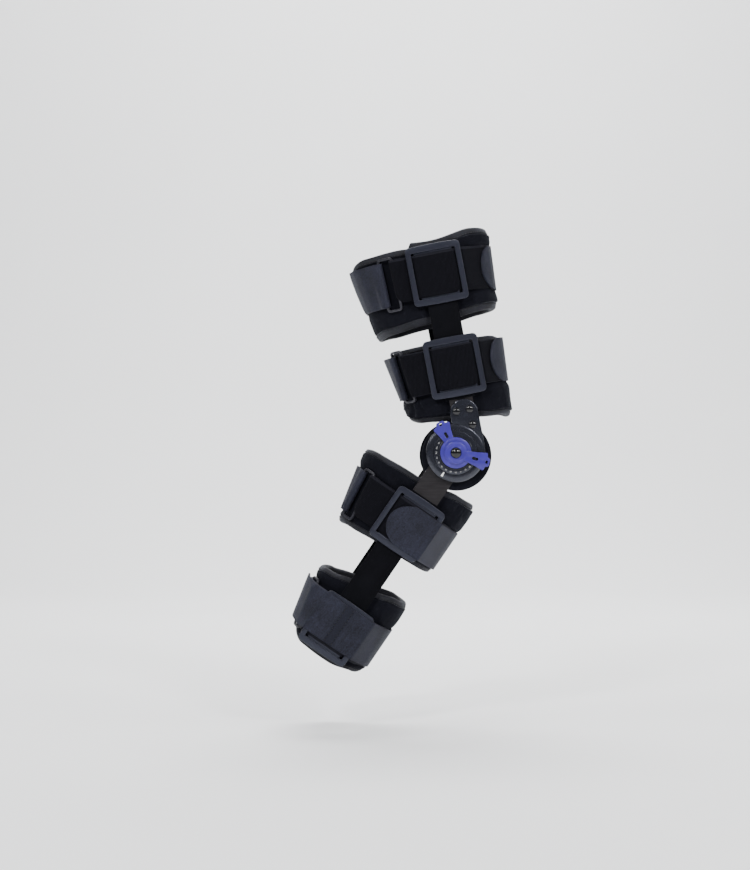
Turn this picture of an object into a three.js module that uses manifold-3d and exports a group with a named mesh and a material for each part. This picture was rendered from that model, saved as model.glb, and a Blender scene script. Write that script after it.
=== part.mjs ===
// Knee immobilizer: a hinged brace for a right leg, as worn with the knee bent about 45 degrees.
// Millimetres. X points forward, Y to the inner side of the leg, Z up.
// The origin is the knee's centre, on the hinge axis and midway between the two hinges.
// Each limb has its own group: x forward, y inward, s the distance from the hinge along the limb.
import * as THREE from "three";
import { mergeVertices } from "three/addons/utils/BufferGeometryUtils.js";
import Module from "manifold-3d";

const wasm = await Module();
wasm.setup();

// Driving dimensions: general
const GAP = 0.3;                // clearance between neighbouring pieces
const THIGH_LEAN = 10.9;        // degrees that the thigh leans back
const CALF_LEAN = 34.2;         // degrees that the calf swings back
const ROUNDNESS = 2.6;          // exponent of the cuffs' rounded cross-section
const FACETS = 32;              // facets round a cuff, which its straps share
const BEND_AT = 60;             // distance from the hinge where the side bars start to splay
const THIGH = { start: 35.2, span: 195.8, depth: 149.8 };   // cuffs' first edge, length and depth
const CALF = { start: 45.5, span: 227, depth: 124.6 };
const THIGH_SPLAY = 0.05;       // outward run of a thigh bar per millimetre of length
const CALF_SPLAY = -0.055;      // the same on the calf, which narrows

// Driving dimensions: hinge, counted outward from the leg's middle plane
const MID_FACE = 50;            // middle plane to a condyle pad's inner face
const CONDYLE = { radius: 38.4, thick: 9.5, x: 0.7, s: -3.8, chamfer: 2 };
const BAR = { thick: 2, width: 26 };
const STRIP_WIDTH = 32;         // bare calf bar between the hinge and the buckle
const STRUT_DISC = 32;          // radius of the calf bar's round end
const HOUSING = { radius: 32.7, thick: 5.2, bevel: 1.2 };
const TONGUE = { rear: 1.9, front: 33, belowBuckle: 3.45, thick: 2.5 };
const FACE = { thick: 1.8, band: 7 };   // band is the width from the dial's edge to the index ring's
const POINTER = { inset: 0.6, margin: 1.1, wide: 2.6, tip: 0.9, thick: 0.5, angle: 227.7, sink: 0.5 };
const LEVER = { thick: 1.9, start: 11, end: 19.7, shoulder: 33.2, reach: 34.5, corner: 2 };
const LEVER_TAB = { wide: 10, out: 4, hole: 1.7 };
const LEVER_SLIT = { at: 22, long: 7, wide: 3.2 };
const FLEXION_LEVER = { hub: 17.1, angle: 107.6 };
const EXTENSION_LEVER = { hub: 12.5, angle: -27.9 };
const AXLE = { radius: 3.5, head: 6, height: 4 };
const BORE = AXLE.radius + GAP;
const RIVET = { radius: 4.3, height: 2.2, fromTop: 12.4, fromRear: 7.4, fromFront: 8.9 };
const BAR_END = { start: 2, inset: 4, lap: 2 };   // thigh bar past the housing, bar short of its sleeve, lap

// Driving dimensions: side sleeves, buckles, rings and straps
const SLEEVE = { wall: 1.2, width: 32.5, start: 1 };   // start is its distance past the tongue
const PAD_THICK = 7.5;
const STRAP = { thick: 1.6, width: 49, loopWidth: 48, bed: 0.6 };
const STRAP_END = { square: 0.72, reach: 1.15 };  // shares of the half width: middle rows, rounded length
const WEAVE = { dip: 1, entry: 0.4, lean: 1.15, past: 1 };   // strap inside a buckle, below and past its bars
const RING_RUN = { front: 5, frontDrop: 1.6, rear: 6, rearDrop: 2.2 };   // strap just past a ring's bars
const FLAP = { lift: 0.6, rear: 0.5, seat: 2, front: 5 };    // strap's end where it climbs over a buckle
const BUCKLE_RUN = 6;           // pad length either side of the inner buckle that the strap leaves free
const BUCKLE = {
  width: 61, height: 66.5, corner: 5, panel: 1.4, rim: 3.3, window: 49, panelWidth: 42, slot: 51.6,
};
const RING = { width: 18, height: 60, wire: 2.5, corner: 4 };
const FLAP_LEAVE = 6;           // degrees behind the ring where the strap's end leaves the pad
const RING_APPROACH = 14;       // degrees behind the ring where the strap leaves the pad
const FOLD_REST = 4;            // degrees further back where the folded length meets the strap
const LOOP_CLEAR = 10;          // degrees past the loop strap's end where the hook strap is on the pad
const LOOP_RETURN = 9;          // length of loop strap turned under behind the ring
const LOOP_END = (38 * Math.PI) / 180;   // where the loop strap ends, round the front to the inner side

// Places across the stack that follow from the sizes above
const calfBarIn = MID_FACE + CONDYLE.thick + GAP;
const calfBarOut = calfBarIn + BAR.thick;
const housingIn = calfBarOut + GAP;
const housingOut = housingIn + HOUSING.thick;
const tongueIn = housingOut - TONGUE.thick;
const thighBarIn = tongueIn - GAP - BAR.thick;
const faceIn = housingOut + GAP;
const faceOut = faceIn + FACE.thick;
const flexionLeverIn = faceOut + GAP;
const extensionLeverIn = flexionLeverIn + LEVER.thick + GAP;
const headIn = extensionLeverIn + LEVER.thick + GAP;
const wireHalf = RING.wire / 2;
const strapHalf = STRAP.thick / 2;
const layer = STRAP.thick + GAP;
const faceOuter = HOUSING.radius - HOUSING.bevel - GAP;
const dialRadius = faceOuter - FACE.band;
const bedded = STRAP.bed + strapHalf;   // pad surface to the middle of a strap that lies on it
// From a ring's wire to the middle of a strap that turns round it, with room for the wire's corners
const turnReach = wireHalf * Math.SQRT2 + 1.5 * GAP + strapHalf;

// Limbs: near and far are two sections, with s a share of the span from the cuffs' first edge, and
// the centre, depth and bar's place shares of the limb's depth.
const limbs = {
  thigh: {
    up: 1, lean: -THIGH_LEAN, splay: THIGH_SPLAY, size: THIGH, barX: 0.1128, barIn: thighBarIn,
    near: { s: 0.2926, centre: 0.0821, depth: 0.8211 }, far: { s: 0.8187, centre: 0.034, depth: 1 },
  },
  calf: {
    up: -1, lean: CALF_LEAN, splay: CALF_SPLAY, size: CALF, barX: 0, barIn: calfBarIn,
    near: { s: 0.2313, centre: -0.0811, depth: 1 }, far: { s: 0.8128, centre: 0.0361, depth: 0.7624 },
  },
};
for (const limb of Object.values(limbs)) {
  limb.at = (share) => limb.size.start + share * limb.size.span;
  limb.barX *= limb.size.depth;
  for (const section of [limb.near, limb.far]) {
    section.s = limb.at(section.s);
    section.centre *= limb.size.depth;
    section.depth *= limb.size.depth;
  }
  limb.sleeveIn = limb.barIn - GAP - SLEEVE.wall;
  limb.sleeveOut = limb.barIn + BAR.thick + GAP + SLEEVE.wall;
  limb.padFace = limb.sleeveIn - GAP;
  limb.group = new THREE.Group();
  limb.group.rotation.y = THREE.MathUtils.degToRad(limb.lean);
}

// Cuffs. Places along the limb are shares of its span: low and high are the pad's edges at its outer
// side, strap and loop the middles of the hook and loop straps. hem is the height of a bound edge.
// off is the outer buckle's distance in front of the bar's middle. behind, from the buckle to the
// ring, and foldBack, the length turned back at the ring, are shares of the limb's depth. hookEnd, the
// hook strap's outer end, is counted from the buckle's middle in buckle widths, and landing is the
// share of the way from the buckle to the front at which straps reach the pad.
// The edge rows are shares of the pad's height, added to low or high at five places round the limb.
const cuffs = [
  {
    name: "thigh_upper", limb: "thigh", low: 0.5608, high: 1, hem: 8,
    strap: 0.8187, loop: 0.8279, buckle: { off: -0.4, s: 0.8289 }, ring: { behind: 0.1335, s: 0.8161 },
    hookEnd: 0.795, landing: 0.75, foldBack: 0.4673,
    lowEdge: { back: -0.08, outerBack: -0.045, outer: 0, outerFront: 0.05, front: 0.055 },
    highEdge: { back: -0.1, outerBack: -0.01, outer: 0.03, outerFront: 0.125, front: 0.105 },
  },
  {
    name: "thigh_lower", limb: "thigh", low: 0, high: 0.4484, hem: 6,
    strap: 0.2926, loop: 0.2952, buckle: { off: -0.4, s: 0.2983 }, ring: { behind: 0.1535, s: 0.2962 },
    hookEnd: 0.641, landing: 0.75, foldBack: 0.4005,
    lowEdge: { back: 0.09, outerBack: 0.04, outer: 0, outerFront: -0.035, front: -0.08 },
    highEdge: { back: -0.08, outerBack: -0.005, outer: 0, outerFront: -0.02, front: -0.07 },
  },
  {
    name: "calf_upper", limb: "calf", low: 0, high: 0.3767, hem: 6,
    strap: 0.2313, loop: 0.2225, buckle: { off: 0, s: 0.2189 }, ring: { behind: 0.2287, s: 0.2339 },
    hookEnd: -0.42, landing: 0.75, foldBack: 0.4815,
    lowEdge: { back: 0.065, outerBack: 0.03, outer: 0, outerFront: -0.088, front: -0.1 },
    highEdge: { back: 0.07, outerBack: 0.035, outer: 0, outerFront: -0.012, front: -0.023 },
  },
  {
    name: "calf_lower", limb: "calf", low: 0.5881, high: 1, hem: 6,
    strap: 0.8137, loop: 0.8304, buckle: { off: 0.3, s: 0.8348 }, ring: { behind: 0.0706, s: 0.8198 },
    hookEnd: -0.628, landing: 0.62, foldBack: 0.2568,
    lowEdge: { back: 0.118, outerBack: 0.075, outer: 0, outerFront: -0.075, front: -0.086 },
    highEdge: { back: -0.07, outerBack: -0.005, outer: 0, outerFront: -0.055, front: -0.123 },
  },
];

for (const cuff of cuffs) {
  const limb = limbs[cuff.limb];
  for (const key of ["low", "high", "strap", "loop"]) cuff[key] = limb.at(cuff[key]);
  cuff.buckle = { x: limb.barX + cuff.buckle.off, s: limb.at(cuff.buckle.s) };
  const ringX = cuff.buckle.x - BUCKLE.width / 2 - cuff.ring.behind * limb.size.depth;
  cuff.ring = { x: ringX, s: limb.at(cuff.ring.s) };
  cuff.hookEnd = cuff.buckle.x + cuff.hookEnd * BUCKLE.width;
  cuff.foldBack *= limb.size.depth;
}
const [upperThighCuff, lowerThighCuff, , lowerCalfCuff] = cuffs;
const tongueTop = lowerThighCuff.buckle.s - BUCKLE.height / 2 - TONGUE.belowBuckle;

// Rivets of the tongue: two near its top, the third just clear of the index ring
const lowRivet = { x: TONGUE.front - RIVET.fromFront, reach: faceOuter + RIVET.radius + 2 * GAP };
const rivets = [
  { x: TONGUE.rear + RIVET.fromRear, s: tongueTop - RIVET.fromTop },
  { x: TONGUE.front - RIVET.fromFront, s: tongueTop - RIVET.fromTop },
  { x: lowRivet.x, s: Math.sqrt(lowRivet.reach ** 2 - lowRivet.x ** 2) },
];

// Finishes
const foam = new THREE.MeshStandardMaterial({ color: 0x1b1d24, roughness: 0.92, metalness: 0 });
const hookFabric = new THREE.MeshStandardMaterial({ color: 0x43454c, roughness: 0.8, metalness: 0 });
const loopFabric = new THREE.MeshStandardMaterial({ color: 0x17181c, roughness: 0.95, metalness: 0 });
const sleeveFabric = new THREE.MeshStandardMaterial({ color: 0x1d1e23, roughness: 0.9, metalness: 0 });
const bucklePlastic = new THREE.MeshStandardMaterial({ color: 0x34323a, roughness: 0.45, metalness: 0 });
const ringMetal = new THREE.MeshStandardMaterial({ color: 0x2a2a2e, roughness: 0.35, metalness: 0.6 });
const barMetal = new THREE.MeshStandardMaterial({ color: 0x39353a, roughness: 0.4, metalness: 0.8 });
const dialPlastic = new THREE.MeshStandardMaterial({ color: 0x17171b, roughness: 0.4, metalness: 0 });
const rivetMetal = new THREE.MeshStandardMaterial({ color: 0x0c0c0e, roughness: 0.15, metalness: 0.7 });
const leverPlastic = new THREE.MeshStandardMaterial({ color: 0x4b48bc, roughness: 0.35, metalness: 0 });
const markWhite = new THREE.MeshStandardMaterial({ color: 0xe6e6e4, roughness: 0.6, metalness: 0 });

// Small helpers
const lerp = THREE.MathUtils.lerp;
const rad = THREE.MathUtils.degToRad;
const TURN = 2 * Math.PI;
const power = (value, exponent) => Math.sign(value) * Math.abs(value) ** exponent;

// Makes a closed body from points and triangles, turned so that its faces point out.
function body(points, faces) {
  let volume = 0;
  for (let i = 0; i < faces.length; i += 3) {
    const [a, b, c] = [points[faces[i]], points[faces[i + 1]], points[faces[i + 2]]];
    volume += a[0] * (b[1] * c[2] - b[2] * c[1]) - a[1] * (b[0] * c[2] - b[2] * c[0])
      + a[2] * (b[0] * c[1] - b[1] * c[0]);
  }
  const outward = volume > 0 ? faces : faces.slice().reverse();
  const geometry = new THREE.BufferGeometry();
  geometry.setAttribute("position", new THREE.Float32BufferAttribute(points.flat(), 3));
  geometry.setIndex(outward);
  return geometry;
}

// Moves every vertex of a geometry and closes it again.
function remap(geometry, place) {
  const bare = geometry.clone();
  bare.deleteAttribute("normal");
  bare.deleteAttribute("uv");
  const merged = mergeVertices(bare, 1e-4);
  const position = merged.getAttribute("position");
  const points = [];
  for (let i = 0; i < position.count; i++) {
    points.push(place(position.getX(i), position.getY(i), position.getZ(i)));
  }
  const faces = [];
  for (let i = 0; i < merged.index.count; i += 3) {
    const [a, b, c] = merged.index.array.slice(i, i + 3);
    if (a !== b && b !== c && c !== a) faces.push(a, b, c);
  }
  return body(points, faces);
}

function solid(geometry) {
  const mesh = new wasm.Mesh({
    numProp: 3,
    vertProperties: new Float32Array(geometry.getAttribute("position").array),
    triVerts: new Uint32Array(geometry.index.array),
  });
  return new wasm.Manifold(mesh);
}

function fromSolid(manifold) {
  const mesh = manifold.getMesh();
  const geometry = new THREE.BufferGeometry();
  geometry.setAttribute("position", new THREE.BufferAttribute(mesh.vertProperties, 3));
  geometry.setIndex(Array.from(mesh.triVerts));
  return geometry;
}

const join = (a, b) => fromSolid(solid(a).add(solid(b)));
const cut = (a, b) => fromSolid(solid(a).subtract(solid(b)));

// Closed wall between two grids of points, rows across and columns along; wrap joins the last column
// to the first.
function wall(outer, inner, wrap) {
  const rows = outer.length;
  const columns = outer[0].length;
  const points = [...outer.flat(), ...inner.flat()];
  const at = (side, row, column) => (side * rows + row) * columns + (column % columns);
  const faces = [];
  const quad = (a, b, c, d) => faces.push(a, b, c, a, c, d);
  const last = rows - 1;
  for (let i = 0; i < (wrap ? columns : columns - 1); i++) {
    for (let j = 0; j < last; j++) {
      quad(at(0, j, i), at(0, j, i + 1), at(0, j + 1, i + 1), at(0, j + 1, i));
      quad(at(1, j, i), at(1, j + 1, i), at(1, j + 1, i + 1), at(1, j, i + 1));
    }
    quad(at(0, 0, i), at(1, 0, i), at(1, 0, i + 1), at(0, 0, i + 1));
    quad(at(0, last, i), at(0, last, i + 1), at(1, last, i + 1), at(1, last, i));
  }
  if (!wrap) {
    const end = columns - 1;
    for (let j = 0; j < last; j++) {
      quad(at(0, j, 0), at(0, j + 1, 0), at(1, j + 1, 0), at(1, j, 0));
      quad(at(0, j, end), at(1, j, end), at(1, j + 1, end), at(0, j + 1, end));
    }
  }
  return body(points, faces);
}

function add(group, name, geometry, material) {
  const mesh = new THREE.Mesh(geometry, material);
  mesh.name = name;
  group.add(mesh);
  return mesh;
}

// Point on a limb's outer pad surface: angle a runs from the front to the inner side, the back and
// the outer side; lift is the height above the surface.
function skin(limb, a, s, lift) {
  const share = (s - limb.near.s) / (limb.far.s - limb.near.s);
  const centre = lerp(limb.near.centre, limb.far.centre, share);
  const halfDepth = lerp(limb.near.depth, limb.far.depth, share) / 2 + lift;
  const halfWidth = limb.padFace + limb.splay * (s - BEND_AT) + lift;
  const x = centre + halfDepth * power(Math.cos(a), 2 / ROUNDNESS);
  const y = halfWidth * power(Math.sin(a), 2 / ROUNDNESS);
  return [x, y, limb.up * s];
}

// Angle at which the pad surface passes the place x, on the outer side (-1) or the inner side (1).
function angleAt(limb, x, s, side) {
  const share = (s - limb.near.s) / (limb.far.s - limb.near.s);
  const centre = lerp(limb.near.centre, limb.far.centre, share);
  const halfDepth = lerp(limb.near.depth, limb.far.depth, share) / 2;
  const angle = Math.acos(power(THREE.MathUtils.clamp((x - centre) / halfDepth, -1, 1), ROUNDNESS / 2));
  return side > 0 ? angle : TURN - angle;
}

const splayAt = (limb, s) => limb.splay * Math.max(0, s - BEND_AT);

// Flat outline in x and s, between two distances from the middle plane, laid along a limb's side.
function plate(limb, side, shape, near, far, curveSegments = 5) {
  const flat = new THREE.ExtrudeGeometry(shape, { depth: far - near, bevelEnabled: false, curveSegments });
  return remap(flat, (x, s, w) => [x, side * (near + w + splayAt(limb, s)), limb.up * s]);
}

// Flat bar that follows the splay of a limb's side.
function bentBar(limb, side, start, end, near, far, width) {
  const stations = start < BEND_AT ? [start, BEND_AT, end] : [start, end];
  const outline = [
    ...stations.map((s) => new THREE.Vector2(s, near + splayAt(limb, s))),
    ...stations.toReversed().map((s) => new THREE.Vector2(s, far + splayAt(limb, s))),
  ];
  const bar = new THREE.ExtrudeGeometry(new THREE.Shape(outline), { depth: width, bevelEnabled: false });
  return remap(bar, (s, w, across) => [limb.barX - width / 2 + across, side * w, limb.up * s]);
}

function roundedBox(x, s, width, height, corner) {
  const [left, right, low, high] = [x - width / 2, x + width / 2, s - height / 2, s + height / 2];
  const shape = new THREE.Shape();
  shape.moveTo(left + corner, low);
  shape.lineTo(right - corner, low);
  shape.absarc(right - corner, low + corner, corner, -Math.PI / 2, 0, false);
  shape.lineTo(right, high - corner);
  shape.absarc(right - corner, high - corner, corner, 0, Math.PI / 2, false);
  shape.lineTo(left + corner, high);
  shape.absarc(left + corner, high - corner, corner, Math.PI / 2, Math.PI, false);
  shape.lineTo(left, low + corner);
  shape.absarc(left + corner, low + corner, corner, Math.PI, 1.5 * Math.PI, false);
  return shape;
}

function slotPath(left, right, low, high) {
  const path = new THREE.Path();
  path.moveTo(left, low);
  path.lineTo(left, high);
  path.lineTo(right, high);
  path.lineTo(right, low);
  path.closePath();
  return path;
}

function bore(radius) {
  const path = new THREE.Path();
  path.absarc(0, 0, radius, 0, TURN, true);
  return path;
}

// Round piece turned about the hinge axis; profile points are radius and distance from the middle.
function turned(side, profile, segments = 32) {
  const lathe = new THREE.LatheGeometry(profile.map(([r, w]) => new THREE.Vector2(r, w)), segments);
  return remap(lathe, (x, w, z) => [x, side * w, z]);
}

// Cuff pads: a padded band that is thinner at its two bound edges
const edgeKeys = ["front", "outerFront", "outer", "outerBack", "back", "outerBack", "outer", "outerFront"];

function edgeAt(edge, a) {
  const place = (a / TURN) * edgeKeys.length;
  const low = Math.floor(place) % edgeKeys.length;
  const high = (low + 1) % edgeKeys.length;
  const blend = THREE.MathUtils.smoothstep(place - Math.floor(place), 0, 1);
  return lerp(edge[edgeKeys[low]], edge[edgeKeys[high]], blend);
}

function cuffPad(cuff) {
  const limb = limbs[cuff.limb];
  const height = cuff.high - cuff.low;
  const hemFill = 0.4;          // share of the foam's thickness left at a bound edge
  const half = BUCKLE.height / 2;
  const outer = [];
  const inner = [];
  const row = (place, lift) => {
    const angles = Array.from({ length: FACETS }, (_, i) => (i / FACETS) * TURN);
    outer.push(angles.map((a) => skin(limb, a, place(a), lift)));
    inner.push(angles.map((a) => skin(limb, a, place(a), -PAD_THICK)));
  };
  const low = (a) => cuff.low + height * edgeAt(cuff.lowEdge, a);
  const high = (a) => cuff.high + height * edgeAt(cuff.highEdge, a);
  row(low, -PAD_THICK * (1 - hemFill));
  row((a) => low(a) + cuff.hem, 0);
  if (cuff.strap - half > cuff.low + 2 * cuff.hem) row((a) => cuff.strap - half, 0);
  if (cuff.strap + half < cuff.high - 2 * cuff.hem) row((a) => cuff.strap + half, 0);
  row((a) => high(a) - cuff.hem, 0);
  row(high, -PAD_THICK * (1 - hemFill));
  return wall(outer, inner, true);
}

// Strap routes: a route is a list of places, each a function of s that gives a point
const onSkin = (limb, a, lift) => (s) => skin(limb, a, s, lift);
const onSide = (limb, side, x, w) => (s) => [x, side * (limb.sleeveOut + w + splayAt(limb, s)), limb.up * s];

// Stretch of a strap round the pad, with a station at each facet's edge and at both ends
function arc(limb, from, to, lift) {
  const facet = TURN / FACETS;
  const way = Math.sign(to - from);
  const angles = [from];
  for (let k = Math.round(from / facet) + way; way * (to - k * facet) > facet / 4; k += way) {
    if (way * (k * facet - from) > facet / 4) angles.push(k * facet);
  }
  return [...angles, to].map((a) => onSkin(limb, a, lift));
}

// Frame of a ring on the pad: along the strap, along the limb and outward
function ringFrame(cuff) {
  const limb = limbs[cuff.limb];
  const lift = bedded + turnReach;
  const a = angleAt(limb, cuff.ring.x, cuff.ring.s, -1);
  const at = (angle, s) => new THREE.Vector3(...skin(limb, angle, s, lift));
  const origin = at(a, cuff.ring.s);
  const along = at(a + 0.02, cuff.ring.s).sub(at(a - 0.02, cuff.ring.s)).normalize();
  const slope = at(a, cuff.ring.s + limb.up).sub(at(a, cuff.ring.s - limb.up)).normalize();
  const out = new THREE.Vector3().crossVectors(along, slope).normalize();
  const axis = new THREE.Vector3().crossVectors(out, along);
  return { origin, along, axis, out, angle: a };
}

function onRing(cuff, frame, u, w) {
  const limb = limbs[cuff.limb];
  return (s) => {
    const v = (limb.up * (s - cuff.ring.s)) / frame.axis.z;
    const point = frame.origin.clone().addScaledVector(frame.along, u).addScaledVector(frame.axis, v)
      .addScaledVector(frame.out, w);
    return point.toArray();
  };
}

// Turn of a strap round one bar of a ring; way is 1 for the front bar and -1 for the rear bar
function ringTurn(cuff, frame, way, upward) {
  const bar = way * (RING.width / 2 - wireHalf);
  const angles = [-90, -135, 180, 135, 90];
  const ordered = upward ? angles : angles.toReversed();
  return ordered.map((angle) => onRing(
    cuff, frame, bar + way * turnReach * Math.cos(rad(angle)), turnReach * Math.sin(rad(angle)),
  ));
}

// Strap woven through a buckle: under the bar, up through the slot, over the panel and down again
function weave(limb, side, x, way) {
  const over = GAP + BUCKLE.panel + GAP + strapHalf;
  const slotMiddle = (BUCKLE.window + BUCKLE.panelWidth) / 4;
  const edge = BUCKLE.width / 2 + WEAVE.past;
  const places = [
    [-edge, -WEAVE.dip - WEAVE.entry],
    [-(slotMiddle + WEAVE.lean), -WEAVE.dip],
    [-(slotMiddle - WEAVE.lean), over],
    [slotMiddle - WEAVE.lean, over],
    [slotMiddle + WEAVE.lean, -WEAVE.dip],
    [edge, -WEAVE.dip - WEAVE.entry],
  ];
  return places.map(([u, w]) => onSide(limb, side, x + way * u, w));
}

// Slides the first stations of a row along it, so that the strap's end is round.
function roundedStart(points, reach, lead) {
  const lengths = [0];
  for (let i = 1; i < points.length; i++) {
    const [from, to] = [points[i - 1], points[i]];
    lengths.push(lengths[i - 1] + Math.hypot(to[0] - from[0], to[1] - from[1]));
  }
  return points.map((point, i) => {
    if (lengths[i] >= reach) return point;
    const place = lead + (reach - lead) * (lengths[i] / reach);
    const next = lengths.findIndex((length) => length > place);
    const share = (place - lengths[next - 1]) / (lengths[next] - lengths[next - 1]);
    return point.map((_, k) => lerp(points[next - 1][k], points[next][k], share));
  });
}

// Flat strap of even thickness along a route
function ribbon(route, middle, width, thick, rounded) {
  const half = width / 2;
  const rows = rounded ? [-1, -STRAP_END.square, 0, STRAP_END.square, 1] : [-1, 1];
  const outer = [];
  const inner = [];
  for (const row of rows) {
    let points = route.map((place) => place(middle + row * half));
    if (rounded) {
      const lead = half * (1 - Math.sqrt(1 - row * row * 0.999));
      points = roundedStart(points, half * STRAP_END.reach, lead);
      points = roundedStart(points.toReversed(), half * STRAP_END.reach, lead).toReversed();
    }
    const normals = points.map((point, i) => {
      const before = points[Math.max(0, i - 1)];
      const after = points[Math.min(points.length - 1, i + 1)];
      const first = new THREE.Vector2(point[0] - before[0], point[1] - before[1]);
      const second = new THREE.Vector2(after[0] - point[0], after[1] - point[1]);
      if (i === 0) first.copy(second);
      if (i === points.length - 1) second.copy(first);
      first.normalize();
      second.normalize();
      const middleWay = first.clone().add(second).normalize();
      const stretch = 1 / Math.max(0.6, middleWay.dot(first));
      return [middleWay.y * stretch, -middleWay.x * stretch];
    });
    const shifted = (offset) => points.map(([x, y, z], i) => [
      x + normals[i][0] * offset, y + normals[i][1] * offset, z,
    ]);
    outer.push(shifted(thick / 2));
    inner.push(shifted(-thick / 2));
  }
  return wall(outer, inner, false);
}

const between = (first, last, share) => (s) => first(s).map((value, k) => lerp(value, last(s)[k], share));

// Where the straps leave the outer buckle's front bar and where they meet the pad in front of it
function frontRun(cuff, lift) {
  const limb = limbs[cuff.limb];
  const frontBar = cuff.buckle.x + BUCKLE.width / 2;
  const frontSkin = skin(limb, 0, cuff.strap, 0)[0];
  const facet = TURN / FACETS;
  const touch = angleAt(limb, lerp(frontBar, frontSkin, cuff.landing), cuff.strap, -1);
  const landing = Math.round(touch / facet) * facet;
  return {
    landing,
    from: onSide(limb, -1, frontBar + WEAVE.past + lift, lift - WEAVE.dip - WEAVE.entry),
    to: onSkin(limb, landing, bedded + lift),
  };
}

// Black loop strap: folded round the ring's front bar, woven through the outer buckle, round the front
function loopStrap(cuff) {
  const limb = limbs[cuff.limb];
  const frame = ringFrame(cuff);
  const bar = RING.width / 2 - wireHalf;
  const run = frontRun(cuff, 0);
  const route = [
    onRing(cuff, frame, bar + LOOP_RETURN, -turnReach),
    ...ringTurn(cuff, frame, 1, true),
    onRing(cuff, frame, bar + RING_RUN.front, turnReach - RING_RUN.frontDrop),
    ...weave(limb, -1, cuff.buckle.x, 1),
    ...arc(limb, run.landing, TURN + LOOP_END, bedded),
  ];
  return ribbon(route, cuff.loop, STRAP.loopWidth, STRAP.thick, false);
}

// Outer end of the hook strap: on the loop strap in front of the buckle, on the buckle, or past it
function hookStart(cuff, frame) {
  const limb = limbs[cuff.limb];
  const run = frontRun(cuff, layer + 2 * GAP);
  const overBuckle = GAP + BUCKLE.rim + GAP + strapHalf;
  const rearBar = cuff.buckle.x - BUCKLE.width / 2;
  const frontBar = cuff.buckle.x + BUCKLE.width / 2;
  const edge = onSide(limb, -1, frontBar + WEAVE.past, overBuckle);
  if (cuff.hookEnd > frontBar) {
    const leave = run.from(cuff.strap)[0];
    const first = (cuff.hookEnd - leave) / (run.to(cuff.strap)[0] - leave);
    return [0, 0.5].map((share) => between(run.from, run.to, lerp(first, 1, share)));
  }
  if (cuff.hookEnd > rearBar) {
    const places = [0, 0.2, 0.45].map((share) => lerp(cuff.hookEnd, frontBar, share));
    return places.map((x) => onSide(limb, -1, x, overBuckle)).concat(edge);
  }
  const overRing = bedded + 2 * turnReach + layer + GAP;
  const flapEnd = angleAt(limb, cuff.hookEnd, cuff.strap, 1);
  return [
    ...arc(limb, flapEnd, frame.angle - rad(FLAP_LEAVE), overRing),
    onRing(cuff, frame, RING.width / 2 + FLAP.front, turnReach + layer + 4 * GAP),
    onSide(limb, -1, rearBar - FLAP.rear, overBuckle + FLAP.lift),
    onSide(limb, -1, rearBar + FLAP.seat, overBuckle),
    edge,
  ];
}

// Grey hook strap: from its round end on the outer side, over the loop strap round the front, through
// the inner buckle, round the back and the ring's rear bar, and back over itself
function hookStrap(cuff) {
  const limb = limbs[cuff.limb];
  const frame = ringFrame(cuff);
  const bar = wireHalf - RING.width / 2;
  const buckleReach = BUCKLE.width / 2 + BUCKLE_RUN;
  const innerFront = angleAt(limb, cuff.buckle.x + buckleReach, cuff.strap, 1);
  const innerBack = angleAt(limb, cuff.buckle.x - buckleReach, cuff.strap, 1);
  const back = frame.angle - rad(RING_APPROACH);
  const foldArc = cuff.foldBack / (limb.far.depth / 2);
  const route = [
    ...hookStart(cuff, frame),
    ...arc(limb, frontRun(cuff, layer).landing, TURN + LOOP_END, bedded + layer),
    ...arc(limb, TURN + LOOP_END + rad(LOOP_CLEAR), TURN + innerFront, bedded).slice(0, -1),
    ...weave(limb, 1, cuff.buckle.x, 1).toReversed(),
    ...arc(limb, TURN + innerBack, TURN + back, bedded),
    ...ringTurn(cuff, frame, -1, true),
    onRing(cuff, frame, bar - RING_RUN.rear, turnReach - RING_RUN.rearDrop),
    ...arc(limb, TURN + back - rad(FOLD_REST), TURN + back - foldArc, bedded + layer),
  ];
  return ribbon(route, cuff.strap, STRAP.width, STRAP.thick, true);
}

// Buckle: a flat plate with two slots and a raised rim, its panel recessed
function buckle(limb, side, x, s) {
  const base = limb.sleeveOut + GAP;
  const window = BUCKLE.window / 2;
  const panel = BUCKLE.panelWidth / 2;
  const [low, high] = [s - BUCKLE.slot / 2, s + BUCKLE.slot / 2];
  const outline = roundedBox(x, s, BUCKLE.width, BUCKLE.height, BUCKLE.corner);
  const full = plate(limb, side, outline, base, base + BUCKLE.rim, 2);
  const opening = (left, right, near) => {
    const shape = new THREE.Shape(slotPath(x + left, x + right, low, high).getPoints());
    return plate(limb, side, shape, near, base + BUCKLE.rim + 1);
  };
  const recessed = cut(full, opening(-window, window, base + BUCKLE.panel));
  return cut(cut(recessed, opening(-window, -panel, base - 1)), opening(panel, window, base - 1));
}

function addRing(cuff) {
  const limb = limbs[cuff.limb];
  const frame = ringFrame(cuff);
  const inside = RING.wire * 2;
  const shape = roundedBox(0, 0, RING.width, RING.height, RING.corner);
  const hole = roundedBox(0, 0, RING.width - inside, RING.height - inside, RING.corner - RING.wire);
  shape.holes.push(new THREE.Path(hole.getPoints(2)));
  const flat = new THREE.ExtrudeGeometry(shape, { depth: RING.wire, bevelEnabled: false, curveSegments: 2 });
  const wire = remap(flat, (x, y, z) => [x, y, z - wireHalf]);
  const ring = add(limb.group, `${cuff.name}_ring`, wire, ringMetal);
  ring.quaternion.setFromRotationMatrix(new THREE.Matrix4().makeBasis(frame.along, frame.axis, frame.out));
  ring.position.copy(frame.origin);
}

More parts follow.
